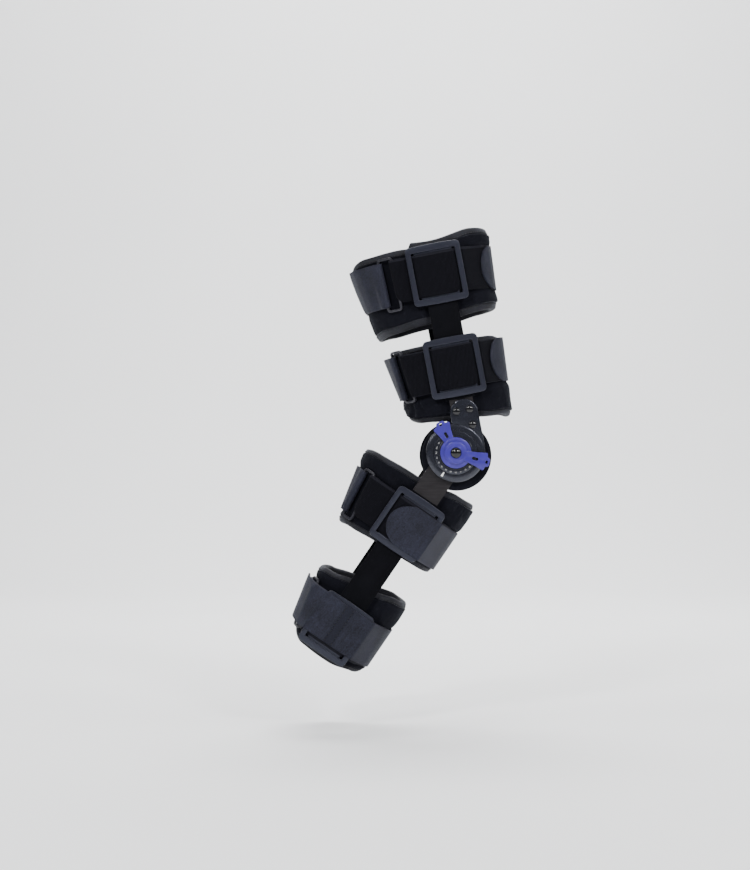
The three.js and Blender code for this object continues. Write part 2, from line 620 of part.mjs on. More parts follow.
// Side sleeve: a flat fabric tube round the bar
function sleeve(limb, side, start, end) {
  const cover = bentBar(limb, side, start, end, limb.sleeveIn, limb.sleeveOut, SLEEVE.width);
  const [wallIn, wallOut] = [limb.sleeveIn + SLEEVE.wall, limb.sleeveOut - SLEEVE.wall];
  return cut(cover, bentBar(limb, side, start - 1, end + 1, wallIn, wallOut, BAR.width + 2 * GAP));
}

// Calf bar: a round end on the hinge, a bare strip, and a narrower bar inside the sleeve
function calfBar(side, end) {
  const limb = limbs.calf;
  const half = STRIP_WIDTH / 2;
  const opening = Math.asin(half / STRUT_DISC);
  const head = new THREE.Shape();
  head.absarc(0, 0, STRUT_DISC, Math.PI / 2 + opening, TURN + Math.PI / 2 - opening, false);
  head.lineTo(half, BEND_AT);
  head.lineTo(-half, BEND_AT);
  head.closePath();
  head.holes.push(bore(BORE));
  const barOut = limb.barIn + BAR.thick;
  return join(
    plate(limb, side, head, limb.barIn, barOut, 14),
    bentBar(limb, side, BEND_AT - BAR_END.lap, end, limb.barIn, barOut, BAR.width),
  );
}

// Thigh hinge plate: a round housing with a tongue that carries the thigh bar
function hingePlate(side) {
  const disc = turned(side, [
    [BORE, housingIn], [HOUSING.radius, housingIn], [HOUSING.radius, housingOut - HOUSING.bevel],
    [HOUSING.radius - HOUSING.bevel, housingOut], [BORE, housingOut], [BORE, housingIn],
  ]);
  const half = (TONGUE.front - TONGUE.rear) / 2;
  const middle = TONGUE.rear + half;
  const tongue = new THREE.Shape();
  tongue.moveTo(TONGUE.rear, HOUSING.radius / 2);
  tongue.lineTo(middle, HOUSING.radius / 2);
  tongue.lineTo(TONGUE.front, 0);
  tongue.absarc(middle, tongueTop - half, half, 0, Math.PI, false);
  tongue.closePath();
  return join(disc, plate(limbs.thigh, side, tongue, tongueIn, housingOut, 7));
}

// Stop lever: a round hub and a flared wing with a slit and a small pierced tab
function stopLever(lever, near) {
  const leave = Math.asin(LEVER.start / 2 / lever.hub);
  const [halfEnd, halfTab] = [LEVER.end / 2, LEVER_TAB.wide / 2];
  const tip = LEVER.reach + LEVER_TAB.out;
  const shape = new THREE.Shape();
  shape.absarc(0, 0, lever.hub, leave, TURN - leave, false);
  shape.lineTo(LEVER.shoulder, -halfEnd);
  shape.quadraticCurveTo(LEVER.reach, -halfEnd, LEVER.reach, -halfEnd + LEVER.corner);
  shape.lineTo(LEVER.reach, -halfTab);
  shape.quadraticCurveTo(tip, -halfTab, tip, 0);
  shape.quadraticCurveTo(tip, halfTab, LEVER.reach, halfTab);
  shape.lineTo(LEVER.reach, halfEnd - LEVER.corner);
  shape.quadraticCurveTo(LEVER.reach, halfEnd, LEVER.shoulder, halfEnd);
  shape.closePath();
  shape.holes.push(bore(BORE));
  const [slitHalf, slitLong] = [LEVER_SLIT.wide / 2, LEVER_SLIT.long / 2];
  shape.holes.push(slotPath(LEVER_SLIT.at - slitLong, LEVER_SLIT.at + slitLong, -slitHalf, slitHalf));
  const eye = new THREE.Path();
  eye.absarc(LEVER.reach, 0, LEVER_TAB.hole, 0, TURN, true);
  shape.holes.push(eye);
  const options = { depth: LEVER.thick, bevelEnabled: false, curveSegments: 6 };
  const flat = new THREE.ExtrudeGeometry(shape, options);
  const turn = rad(lever.angle);
  const [c, q] = [Math.cos(turn), Math.sin(turn)];
  return remap(flat, (x, y, w) => [c * x - q * y, -(near + w), q * x + c * y]);
}

// White pointer on the index ring, in the calf's own directions
function pointer() {
  const [wide, tip] = [POINTER.wide / 2, POINTER.tip / 2];
  const [inner, outer] = [dialRadius + POINTER.inset, faceOuter - POINTER.margin];
  const shape = new THREE.Shape([
    new THREE.Vector2(inner, -tip), new THREE.Vector2(outer, -wide),
    new THREE.Vector2(outer, wide), new THREE.Vector2(inner, tip),
  ]);
  return new THREE.ExtrudeGeometry(shape, { depth: POINTER.thick, bevelEnabled: false });
}

// Builds both sides of the hinge and the bars
const { thigh, calf } = limbs;
const sides = [{ side: -1, tag: "outer" }, { side: 1, tag: "inner" }];
const thighEnd = upperThighCuff.buckle.s + BUCKLE.height / 2 - BUCKLE.corner;
const calfEnd = lowerCalfCuff.buckle.s + BUCKLE.height / 2 - BUCKLE.corner;
for (const { side, tag } of sides) {
  const padIn = MID_FACE;
  const padOut = MID_FACE + CONDYLE.thick;
  const rim = CONDYLE.radius - CONDYLE.chamfer;
  const condyle = turned(side, [
    [0, padIn], [rim, padIn], [CONDYLE.radius, padIn + CONDYLE.chamfer], [CONDYLE.radius, padOut],
    [0, padOut],
  ]);
  add(thigh.group, `condyle_pad_${tag}`, condyle.translate(CONDYLE.x, 0, CONDYLE.s), foam);
  add(thigh.group, `hinge_plate_${tag}`, hingePlate(side), dialPlastic);
  const barOut = thigh.barIn + BAR.thick;
  const barStart = HOUSING.radius + BAR_END.start;
  const thighBar = bentBar(thigh, side, barStart, thighEnd - BAR_END.inset, thigh.barIn, barOut, BAR.width);
  add(thigh.group, `thigh_bar_${tag}`, thighBar, barMetal);
  add(thigh.group, `thigh_sleeve_${tag}`, sleeve(thigh, side, tongueTop + SLEEVE.start, thighEnd), sleeveFabric);
  add(calf.group, `calf_bar_${tag}`, calfBar(side, calfEnd - BAR_END.inset), barMetal);
  add(calf.group, `calf_sleeve_${tag}`, sleeve(calf, side, BEND_AT + GAP, calfEnd), sleeveFabric);
  const headOut = side < 0 ? headIn : faceOut + GAP;
  const headArc = [0, 30, 60].map((a) => [
    AXLE.head * Math.cos(rad(a)), headOut + AXLE.height * Math.sin(rad(a)),
  ]);
  add(thigh.group, `hinge_rivet_${tag}`, turned(side, [
    [0, calfBarIn], [AXLE.radius, calfBarIn], [AXLE.radius, headOut], ...headArc, [0, headOut + AXLE.height],
  ], 14), rivetMetal);
  rivets.forEach(({ x, s }, index) => {
    const foot = housingOut + GAP;
    const dome = [0, 30, 60].map((a) => [
      RIVET.radius * Math.cos(rad(a)), foot + RIVET.height * Math.sin(rad(a)),
    ]);
    const rivet = turned(side, [[0, foot], ...dome, [0, foot + RIVET.height]], 12);
    add(thigh.group, `plate_rivet_${index + 1}_${tag}`, rivet.translate(x, 0, s), rivetMetal);
  });
}

// Dial on the outer hinge, plain cover on the inner one
add(thigh.group, "dial_face", turned(-1, [
  [BORE, faceIn], [dialRadius, faceIn], [dialRadius, faceOut], [BORE, faceOut], [BORE, faceIn],
]), dialPlastic);
add(thigh.group, "hinge_cover_inner", turned(1, [
  [BORE, faceIn], [faceOuter, faceIn], [faceOuter, faceOut], [BORE, faceOut], [BORE, faceIn],
]), dialPlastic);
const ringInner = dialRadius + GAP;
add(calf.group, "index_ring", turned(-1, [
  [ringInner, faceIn], [faceOuter, faceIn], [faceOuter, faceOut - POINTER.sink - GAP],
  [ringInner, faceOut - POINTER.sink - GAP], [ringInner, faceIn],
]), dialPlastic);
const pointerTurn = rad(POINTER.angle + CALF_LEAN + THIGH_LEAN);
const [pointerCos, pointerSin] = [Math.cos(pointerTurn), Math.sin(pointerTurn)];
add(calf.group, "index_pointer", remap(pointer(), (x, y, w) => [
  pointerCos * x - pointerSin * y, -(faceOut - POINTER.sink + w), pointerSin * x + pointerCos * y,
]), markWhite);
add(thigh.group, "flexion_stop_lever", stopLever(FLEXION_LEVER, flexionLeverIn), leverPlastic);
add(thigh.group, "extension_stop_lever", stopLever(EXTENSION_LEVER, extensionLeverIn), leverPlastic);

// Builds the four cuffs with their straps, rings and buckles
for (const cuff of cuffs) {
  const limb = limbs[cuff.limb];
  const group = limb.group;
  add(group, `${cuff.name}_pad`, cuffPad(cuff), foam);
  add(group, `${cuff.name}_loop_strap`, loopStrap(cuff), loopFabric);
  add(group, `${cuff.name}_hook_strap`, hookStrap(cuff), hookFabric);
  add(group, `${cuff.name}_buckle_outer`, buckle(limb, -1, cuff.buckle.x, cuff.buckle.s), bucklePlastic);
  add(group, `${cuff.name}_buckle_inner`, buckle(limb, 1, cuff.buckle.x, cuff.strap), bucklePlastic);
  addRing(cuff);
}

const brace = new THREE.Group();
brace.name = "knee_immobilizer";
brace.add(thigh.group, calf.group);

export default brace;
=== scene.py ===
"""Looks of a hinged knee immobilizer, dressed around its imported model. Lengths are in metres."""

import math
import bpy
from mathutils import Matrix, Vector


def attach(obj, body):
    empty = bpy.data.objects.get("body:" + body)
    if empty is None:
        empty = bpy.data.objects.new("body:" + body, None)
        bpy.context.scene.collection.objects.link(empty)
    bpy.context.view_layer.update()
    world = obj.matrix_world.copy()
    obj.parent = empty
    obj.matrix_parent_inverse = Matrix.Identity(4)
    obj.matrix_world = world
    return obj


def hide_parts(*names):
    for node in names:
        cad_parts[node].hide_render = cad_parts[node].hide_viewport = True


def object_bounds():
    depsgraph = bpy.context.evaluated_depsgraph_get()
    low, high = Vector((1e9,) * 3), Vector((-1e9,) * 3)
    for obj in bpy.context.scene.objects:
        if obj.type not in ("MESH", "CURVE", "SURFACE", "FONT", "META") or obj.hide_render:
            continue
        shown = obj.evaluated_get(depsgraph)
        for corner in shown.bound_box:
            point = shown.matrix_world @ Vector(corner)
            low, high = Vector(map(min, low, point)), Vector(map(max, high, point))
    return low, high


bl_info = {
    "name": "Hinged knee immobilizer",
    "version": (1, 0, 0),
    "blender": (4, 5, 0),
    "location": "3D View > Sidebar > Knee brace",
    "description": "Makes the pads, straps, buckles, hinges and stage of a hinged knee immobilizer",
    "category": "Object",
}

import bpy
from mathutils import Matrix, Vector, noise

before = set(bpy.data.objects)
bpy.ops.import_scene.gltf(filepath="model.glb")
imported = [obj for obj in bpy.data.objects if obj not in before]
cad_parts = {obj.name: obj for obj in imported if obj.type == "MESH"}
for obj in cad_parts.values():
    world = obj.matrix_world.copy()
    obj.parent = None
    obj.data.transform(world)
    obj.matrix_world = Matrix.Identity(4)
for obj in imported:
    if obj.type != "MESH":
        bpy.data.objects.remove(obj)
CAD_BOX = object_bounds()
MM = 0.001
TURN = 2 * math.pi

# Sizes shared with the frame, in millimetres
GAP = 0.3
ROUNDNESS = 2.6
BEND_AT = 60
PAD_THICK = 7.5
HINGE = {"plate_in": 62.1, "plate_out": 67.3, "face_out": 69.4, "lever_low": 69.7, "lever_high": 71.9}
HOUSING_RADIUS = 32.7
TONGUE = {"rear": 1.9, "front": 33.0, "top": 56.9}
LEVER = {"thick": 1.9, "start": 11.0, "end": 19.7, "shoulder": 33.2, "reach": 34.5, "tab": 10.0, "out": 4.0}
RIVETS = ((9.3, 44.5), (24.1, 44.5), (24.1, 26.9))
BUCKLE = {
    "width": 61.0, "height": 66.5, "corner": 5.0, "rim": 3.3, "window": 49.0, "panel": 42.0, "slot": 51.6,
}

LIMBS = {
    "thigh": {
        "up": 1, "lean": -10.9, "splay": 0.05, "bar_x": 16.9, "pad_face": 60.7, "sleeve_out": 66.0,
        "near": (92.5, 12.3, 123.0), "far": (195.5, 5.1, 149.8),
    },
    "calf": {
        "up": -1, "lean": 34.2, "splay": -0.055, "bar_x": 0.0, "pad_face": 58.0, "sleeve_out": 63.3,
        "near": (98.0, -10.1, 124.6), "far": (230.0, 4.5, 95.0),
    },
}

# Cuffs: edges are shares of the pad's height at the front, outer front, outer side, outer back and back.
# Each fold on the outer side is x and s of its two ends, its half width and its depth. The overlap is the
# pad's outer layer: the x where it ends on the outer side, and its distance inside the pad's edges.
CUFFS = {
    "thigh_upper": {
        "limb": "thigh", "low": 145, "high": 231, "hem": 8, "strap": 195.5, "swell": (2.0, 2.6), "seed": 3,
        "low_edge": (0.055, 0.05, 0, -0.045, -0.08), "high_edge": (0.105, 0.125, 0.03, -0.01, -0.1),
        "buckle": (16.5, 197.5), "overlap": (-8, 4.6, 1.5), "step": 3.2,
        "folds": ((-30, 160, -55, 150, 3, 0.9), (52, 150, 62, 166, 2.4, 1.0), (-10, 163, -26, 147, 3, 0.6),
                  (58, 232, 70, 226, 2, 0.8)),
    },
    "thigh_lower": {
        "limb": "thigh", "low": 35.2, "high": 123, "hem": 6, "strap": 92.5, "swell": (3.0, 1.2), "seed": 11,
        "low_edge": (-0.08, -0.035, 0, 0.04, 0.09), "high_edge": (-0.07, -0.02, 0, -0.005, -0.08),
        "buckle": (16.5, 93.6), "overlap": (44, 4.0, 1.1), "step": 0,
        "folds": ((-36, 62, -48, 42, 2.2, 2.2), (-33, 62, -36, 42, 2.0, 2.1), (-28, 62, -20, 44, 2.0, 1.8),
                  (-40, 64, -58, 52, 2.4, 1.8), (-20, 60, -6, 50, 2.2, 1.3), (52, 40, 66, 60, 2.4, 1.0)),
    },
    "calf_upper": {
        "limb": "calf", "low": 45.5, "high": 131, "hem": 6, "strap": 98, "swell": (2.6, 1.6), "seed": 19,
        "low_edge": (-0.1, -0.088, 0, 0.03, 0.065), "high_edge": (-0.023, -0.012, 0, 0.035, 0.07),
        "buckle": (0.0, 95.2), "overlap": (24, 5.0, 1.9), "step": 0,
        "folds": ((34, 44, 36, 66, 1.8, 1.2), (42, 50, 50, 64, 2.2, 0.9), (-40, 62, -58, 54, 2.4, 0.7)),
    },
    "calf_lower": {
        "limb": "calf", "low": 179, "high": 272.5, "hem": 6, "strap": 230.2, "swell": (1.8, 2.4), "seed": 27,
        "low_edge": (-0.086, -0.075, 0, 0.075, 0.118), "high_edge": (-0.123, -0.055, 0, -0.005, -0.07),
        "buckle": (0.3, 235.0), "overlap": (30, 4.4, 1.4), "step": 0,
        "folds": ((-22, 191, -46, 194, 1.3, 1.0), (-20, 196, -44, 200, 1.3, 0.9),
                  (-22, 201, -40, 204, 1.6, 0.6), (26, 188, 44, 182, 1.6, 0.8)),
    },
}
STRAP_HALF = 24.5
STRAP_THICK = 1.6
KNEE_PAD = {"inner": 50.0, "outer": 59.5, "radius": 38.4, "x": 1.4, "z": -3.6}

# Dial: places in degrees as seen from the outer side, radius in millimetres
NUMERALS = {"count": 12, "first": 149.5, "zero": 284.5, "step": 15, "radius": 21.6}
POINTER_AT = 238.6
LEVERS = {
    "flexion": {"hub": 17.1, "at": 118.5, "low": HINGE["lever_low"]},
    "extension": {"hub": 12.5, "at": -17.0, "low": HINGE["lever_high"]},
}

# Stage, in metres
FLOOR_BELOW = 0.065
SWEEP_RADIUS = 0.9
SWEEP_STEPS = 16
BACKDROP_MIDDLE = (0.0, 2.8, 0.2)
CAMERA_AT = (-0.0889, -2.27, 0.0196)
CAMERA_LENS = 82.8


# Properties

def length(name, description, default):
    return bpy.props.FloatProperty(name=name, description=description, default=default, unit="LENGTH")


class BraceSizes(bpy.types.PropertyGroup):
    """Sizes that a user may change"""

    pad_columns: bpy.props.IntProperty(
        name="Pad columns", description="Facets round a cuff pad", default=256, min=48, max=320)
    wrinkle: length("Wrinkle depth", "Depth of the creases in the pads' cover", 0.7 * MM)
    stitch_length: length("Stitch length", "Length of one stitch", 2.6 * MM)
    numeral_height: length("Numeral height", "Height of the dial's numerals", 1.55 * MM)


def colour(name, description, default):
    return bpy.props.FloatVectorProperty(
        name=name, description=description, subtype="COLOR", size=3, default=default)


class BraceColours(bpy.types.PropertyGroup):
    """Colours that a user may change"""

    pad: colour("Pad", "Knitted cover of the pads", (0.0042, 0.0044, 0.0070))
    hook: colour("Hook strap", "Grey outer straps", (0.0088, 0.0094, 0.0162))
    loop: colour("Loop strap", "Black inner straps", (0.0026, 0.0026, 0.0040))
    sleeve: colour("Sleeve", "Fabric sleeves of the bars", (0.0024, 0.0025, 0.0038))
    buckle: colour("Buckle", "Moulded buckle plates", (0.0046, 0.0049, 0.0090))
    lever: colour("Lever", "Stop levers", (0.026, 0.014, 0.22))
    dial: colour("Dial", "Hinge housing and dial", (0.0040, 0.0043, 0.0068))
    print_white: colour("Print", "Numerals and pointer", (0.80, 0.80, 0.78))
    floor: colour("Floor", "Floor and backdrop", (0.90, 0.905, 0.91))


def sizes():
    return bpy.context.scene.brace_sizes


def colours():
    return bpy.context.scene.brace_colours


# Selection and finishing

def deselect():
    for item in bpy.context.selected_objects:
        item.select_set(False)


def pick(piece):
    deselect()
    piece.select_set(True)
    bpy.context.view_layer.objects.active = piece


def linked(name, data):
    """New object in the scene."""
    piece = bpy.data.objects.new(name, data)
    bpy.context.scene.collection.objects.link(piece)
    return piece


def as_mesh(curve):
    """New mesh object from a curve or a text."""
    pick(linked("piece", curve))
    bpy.ops.object.convert(target="MESH")
    return bpy.context.view_layer.objects.active


def apply_modifiers(piece):
    pick(piece)
    for modifier in list(piece.modifiers):
        bpy.ops.object.modifier_apply(modifier=modifier.name)


def tidy_mesh(piece, merge=1e-6):
    """Turns all faces out, after merging points nearer than a distance."""
    pick(piece)
    bpy.ops.object.mode_set(mode="EDIT")
    bpy.ops.mesh.select_all(action="SELECT")
    if merge:
        bpy.ops.mesh.remove_doubles(threshold=merge)
    bpy.ops.mesh.normals_make_consistent(inside=False)
    bpy.ops.object.mode_set(mode="OBJECT")


def smooth(piece, angle=35):
    pick(piece)
    bpy.ops.object.shade_smooth_by_angle(angle=math.radians(angle))


def dress(piece, name, body, finish, nodes=()):
    """Names a finished piece and ties it to its body, finish and the CAD nodes it stands for."""
    piece.name = name
    piece.data.name = name
    piece.data.materials.clear()
    piece.data.materials.append(finish_for(finish))
    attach(piece, body)
    if nodes:
        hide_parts(*nodes)


def move_points(piece, place):
    """Sends every vertex of a piece through a function."""
    for vertex in piece.data.vertices:
        vertex.co = place(vertex.co.copy())
    piece.data.update()


# Places in the limbs

def limb_turn(limb):
    return Matrix.Rotation(math.radians(limb["lean"]), 3, "Y")


def lerp(a, b, share):
    return a + (b - a) * share


def power(value, exponent):
    return math.copysign(abs(value) ** exponent, value)


def clamp(value, low=0.0, high=1.0):
    return max(low, min(high, value))


def ease(value, low, high):
    share = clamp((value - low) / (high - low))
    return share * share * (3 - 2 * share)


def section(limb, s):
    """Centre, half depth and half width of the pads' outer surface at a distance from the hinge."""
    (s0, c0, d0), (s1, c1, d1) = limb["near"], limb["far"]
    share = (s - s0) / (s1 - s0)
    return lerp(c0, c1, share), lerp(d0, d1, share) / 2, limb["pad_face"] + limb["splay"] * (s - BEND_AT)


def skin(limb, a, s, lift):
    """Point over the pads' outer surface: a turns from the front to the inner side, lift is outward."""
    centre, depth, width = section(limb, s)
    x = centre + (depth + lift) * power(math.cos(a), 2 / ROUNDNESS)
    y = (width + lift) * power(math.sin(a), 2 / ROUNDNESS)
    return limb_turn(limb) @ (Vector((x, y, limb["up"] * s)) * MM)


def side_place(limb, side):
    """Maps flat x, s and distance from the middle plane onto one side of a limb."""
    turn = limb_turn(limb)

    def place(co):
        x, s, w = co / MM
        w += limb["splay"] * max(0.0, s - BEND_AT)
        return turn @ (Vector((x, side * w, limb["up"] * s)) * MM)

    return place


def hinge_place(side, degrees=0.0):
    """Maps flat x, z and distance from the middle plane onto a hinge, turned as seen from the outer side."""
    c, q = math.cos(math.radians(degrees)), math.sin(math.radians(degrees))

    def place(co):
        return Vector((c * co.x - q * co.y, side * co.z, q * co.x + c * co.y))

    return place


# Flat plates from outlines

def arc_points(x, y, radius, start, end, count):
    """Points along an arc, both ends included, with its angles in degrees."""
    angles = [math.radians(lerp(start, end, i / count)) for i in range(count + 1)]
    return [(x + radius * math.cos(a), y + radius * math.sin(a)) for a in angles]


def circle_points(radius, count):
    return arc_points(0, 0, radius, 0, 360, count)[:-1]


def rounded_box_points(x, y, width, height, corner, bow=0.0, count=8):
    """Box with round corners, whose top and bottom may bow outward."""
    right, high = width / 2 - corner, height / 2
    bowed = [(lerp(right, -right, k / 8), high + bow * math.sin(math.pi * k / 8)) for k in range(1, 8)]
    points = arc_points(right, corner - high, corner, -90, 0, count)
    points += arc_points(right, high - corner, corner, 0, 90, count) + bowed
    points += arc_points(-right, high - corner, corner, 90, 180, count)
    points += arc_points(-right, corner - high, corner, 180, 270, count) + [(-u, -v) for u, v in bowed]
    return [(x + u, y + v) for u, v in points]


def add_line(curve, points, closed):
    spline = curve.splines.new("POLY")
    spline.points.add(len(points) - 1)
    for point, (x, y, z) in zip(spline.points, points):
        point.co = (x * MM, y * MM, z * MM, 1)
    spline.use_cyclic_u = closed


def cut_plate(outlines, low, high, bevel):
    """Flat plate from closed outlines in millimetres, the first outside and the others holes, bevelled."""
    curve = bpy.data.curves.new("outline", "CURVE")
    curve.dimensions = "2D"
    curve.fill_mode = "BOTH"
    curve.extrude = ((high - low) / 2 - bevel) * MM
    curve.bevel_depth = bevel * MM
    curve.bevel_resolution = 2
    curve.offset = -bevel * MM
    for outline in outlines:
        add_line(curve, [(x, y, 0) for x, y in outline], True)
    plate = as_mesh(curve)
    move_points(plate, lambda co: co + Vector((0, 0, (low + high) / 2 * MM)))
    tidy_mesh(plate)
    return plate


def turned_piece(profile, count=96):
    """Round piece from a profile of radius and distance from the middle plane, about the hinge axis."""
    curve = bpy.data.curves.new("profile", "CURVE")
    curve.dimensions = "3D"
    add_line(curve, [(radius, 0, w) for radius, w in profile], False)
    piece = as_mesh(curve)
    screw = piece.modifiers.new("turn", "SCREW")
    screw.axis = "Z"
    screw.steps = screw.render_steps = count
    screw.use_merge_vertices = True
    screw.merge_threshold = 1e-6
    apply_modifiers(piece)
    tidy_mesh(piece)
    return piece


def dome_profile(radius, foot, height):
    """Profile of a rivet's head."""
    angles = [math.radians(a) for a in range(0, 90, 9)]
    return [(radius * math.cos(a), foot + height * math.sin(a)) for a in angles] + [(0, foot + height)]


def joined(pieces):
    deselect()
    for piece in pieces:
        piece.select_set(True)
    bpy.context.view_layer.objects.active = pieces[0]
    bpy.ops.object.join()
    return bpy.context.view_layer.objects.active


def settle(piece, place, angle):
    """Sends a piece to its place on the brace and shades it."""
    move_points(piece, place)
    tidy_mesh(piece)
    smooth(piece, angle)


# Materials

WHITE = (1.0, 1.0, 1.0)


class Finish:
    """Builds a material from nodes, starting at its Principled shader. Lengths are in millimetres."""

    def __init__(self, name, colour, roughness, shine, sheen=None, **sockets):
        self.material = bpy.data.materials.new(name)
        self.material.use_nodes = True
        self.tree = self.material.node_tree
        self.shader = self.tree.nodes["Principled BSDF"]
        self.colour = tuple(colour)
        sockets.update(Base_Color=self.colour + (1.0,), Roughness=roughness, Specular_IOR_Level=shine)
        if sheen:
            weight, spread, tint = sheen
            sockets.update(Sheen_Weight=weight, Sheen_Roughness=spread, Sheen_Tint=tint + (1.0,))
        for socket, value in sockets.items():
            self.shader.inputs[socket.replace("_", " ")].default_value = value
        self.object_place = self.add("ShaderNodeTexCoord").outputs["Object"]

    def add(self, kind, links=(), **values):
        node = self.tree.nodes.new(kind)
        for key, value in values.items():
            if key in node.inputs:
                node.inputs[key].default_value = value
            else:
                setattr(node, key, value)
        for key, source in dict(links).items():
            self.tree.links.new(source, node.inputs[key])
        return node

    def drive(self, socket, source):
        self.tree.links.new(source, self.shader.inputs[socket])

    def strap_place(self):
        """Coordinates along and across a piece of cloth, in metres, from its own map."""
        return self.add("ShaderNodeUVMap", uv_map="weave").outputs["UV"]

    def mapped(self, scale, place=None):
        node = self.add("ShaderNodeMapping", {"Vector": place or self.object_place}, Scale=scale)
        return node.outputs["Vector"]

    def noise(self, scale, detail=3.0, place=None, rough=0.5):
        node = self.add("ShaderNodeTexNoise", {"Vector": place or self.object_place},
                        Scale=scale, Detail=detail, Roughness=rough)
        return node.outputs["Fac"]

    def bands(self, place, period, direction):
        node = self.add("ShaderNodeTexWave", {"Vector": place}, bands_direction=direction,
                        Scale=TURN / (20 * period * MM))
        return node.outputs["Fac"]

    def weave(self, place, first, second, axes="XY"):
        one, two = self.bands(place, first, axes[0]), self.bands(place, second, axes[1])
        return self.maths("MULTIPLY", one, two)

    def selvedge(self, place, width):
        """One along a strap's two long edges, nothing between them."""
        split = self.add("ShaderNodeSeparateXYZ", {"Vector": place})
        across = self.maths("ABSOLUTE", split.outputs["Y"], 0)
        return self.maths("GREATER_THAN", across, (STRAP_HALF - width) * MM)

    def maths(self, operation, first, second):
        node = self.add("ShaderNodeMath", operation=operation)
        for index, value in enumerate((first, second)):
            if isinstance(value, (int, float)):
                node.inputs[index].default_value = value
            else:
                self.tree.links.new(value, node.inputs[index])
        return node.outputs["Value"]

    def mean(self, first, second):
        return self.maths("MULTIPLY", self.maths("ADD", first, second), 0.5)

    def tint(self, factor, darker, lighter, low=0.3, high=0.7):
        """Varies the colour between two multiples of itself."""
        ramp = self.add("ShaderNodeValToRGB", {"Fac": factor})
        for end, place, share in zip(ramp.color_ramp.elements, (low, high), (darker, lighter)):
            end.position = place
            end.color = tuple(min(1.0, c * share) for c in self.colour) + (1,)
        self.drive("Base Color", ramp.outputs["Color"])

    def rough(self, factor, low, high):
        span = self.add("ShaderNodeMapRange", {"Value": factor})
        span.inputs["To Min"].default_value = low
        span.inputs["To Max"].default_value = high
        self.drive("Roughness", span.outputs["Result"])

    def bump(self, height, distance, strength, under=None):
        node = self.add("ShaderNodeBump", {"Height": height}, Strength=strength, Distance=distance * MM)
        if under:
            self.tree.links.new(under, node.inputs["Normal"])
        self.drive("Normal", node.outputs["Normal"])
        return node.outputs["Normal"]


def pad_finish():
    finish = Finish("pad_knit", colours().pad, 0.88, 0.06, (0.022, 0.45, (0.62, 0.68, 0.9)))
    knit = finish.weave(finish.strap_place(), 0.9, 0.7)
    cloud = finish.noise(26, 4)
    finish.tint(finish.mean(cloud, knit), 0.72, 1.75, 0.2, 0.75)
    base = finish.bump(finish.maths("ADD", cloud, finish.noise(900, 2)), 0.35, 0.35)
    finish.bump(knit, 0.16, 0.8, base)
    return finish.material


def hem_finish():
    finish = Finish("bound_hem_painted_highlight", colours().pad, 0.7, 0.25, (0.08, 0.4, (0.7, 0.74, 0.9)))
    # The hem is the pad's colour painted lighter: a painted highlight along the bound edge, over a random
    # tone
    finish.tint(finish.noise(60, 3), 0.9, 2.2)
    finish.bump(finish.bands(finish.strap_place(), 0.6, "DIAGONAL"), 0.12, 0.8)
    return finish.material


def lining_finish():
    finish = Finish("pad_lining", colours().pad, 0.95, 0.15, (0.12, 0.6, WHITE))
    pile = finish.noise(700, 3)
    finish.tint(pile, 0.6, 1.7)
    finish.bump(pile, 0.35, 0.8)
    return finish.material


def hook_finish():
    finish = Finish("hook_webbing", colours().hook, 0.62, 0.16, (0.035, 0.35, (0.78, 0.8, 0.95)))
    place = finish.strap_place()
    cloud = finish.noise(38, 4)
    streak = finish.noise(1.0, 3, finish.mapped((900, 60, 1), place))
    lint = finish.noise(620, 3, None, 0.75)
    finish.tint(finish.mean(finish.mean(cloud, streak), lint), 0.4, 2.3, 0.36, 0.66)
    finish.rough(streak, 0.55, 0.78)
    base = finish.bump(cloud, 0.4, 0.25)
    edged = finish.bump(finish.selvedge(place, 1.3), 0.25, 0.5, base)
    finish.bump(finish.weave(place, 0.55, 0.75), 0.1, 0.7, edged)
    return finish.material


def loop_finish():
    finish = Finish("loop_webbing", colours().loop, 0.92, 0.06, (0.02, 0.5, (0.7, 0.72, 0.8)))
    place = finish.strap_place()
    rib = finish.bands(place, 1.25, "X")
    pile = finish.noise(1500, 2)
    edge = finish.selvedge(place, 1.7)
    body = finish.maths("MULTIPLY", finish.maths("ADD", rib, pile), 0.4)
    finish.tint(finish.maths("ADD", body, finish.maths("MULTIPLY", edge, 0.3)), 0.6, 3.2, 0.25, 0.85)
    finish.rough(edge, 0.92, 0.6)
    base = finish.bump(pile, 0.25, 0.5)
    ribbed = finish.bump(rib, 0.22, 0.7, base)
    finish.bump(edge, 0.4, 0.6, ribbed)
    return finish.material


def sleeve_finish():
    finish = Finish("sleeve_weave", colours().sleeve, 0.84, 0.06, (0.012, 0.45, WHITE))
    rib = finish.weave(finish.object_place, 0.8, 0.8, "XZ")
    finish.tint(finish.mean(rib, finish.noise(40, 3)), 0.7, 1.9, 0.25, 0.75)
    finish.bump(rib, 0.12, 0.7)
    return finish.material


def grain_finish(name, colour, roughness, shine, pattern, tints, bump, sheen=None):
    """Plain finish whose colour and surface follow one fine grain."""
    finish = Finish(name, colour, roughness, shine, sheen)
    grain = finish.noise(*pattern)
    finish.tint(grain, *tints)
    finish.bump(grain, *bump)
    return finish.material


def plastic_finish(name, colour, shine, scuff, tints, rough, grain, **sockets):
    """Moulded plastic: cloudy colour and gloss over a faint grain."""
    finish = Finish(name, colour, rough[0], shine, **sockets)
    cloud = finish.noise(*scuff)
    finish.tint(cloud, *tints)
    finish.rough(cloud, *rough)
    finish.bump(finish.noise(grain[0], 2), *grain[1:])
    return finish.material


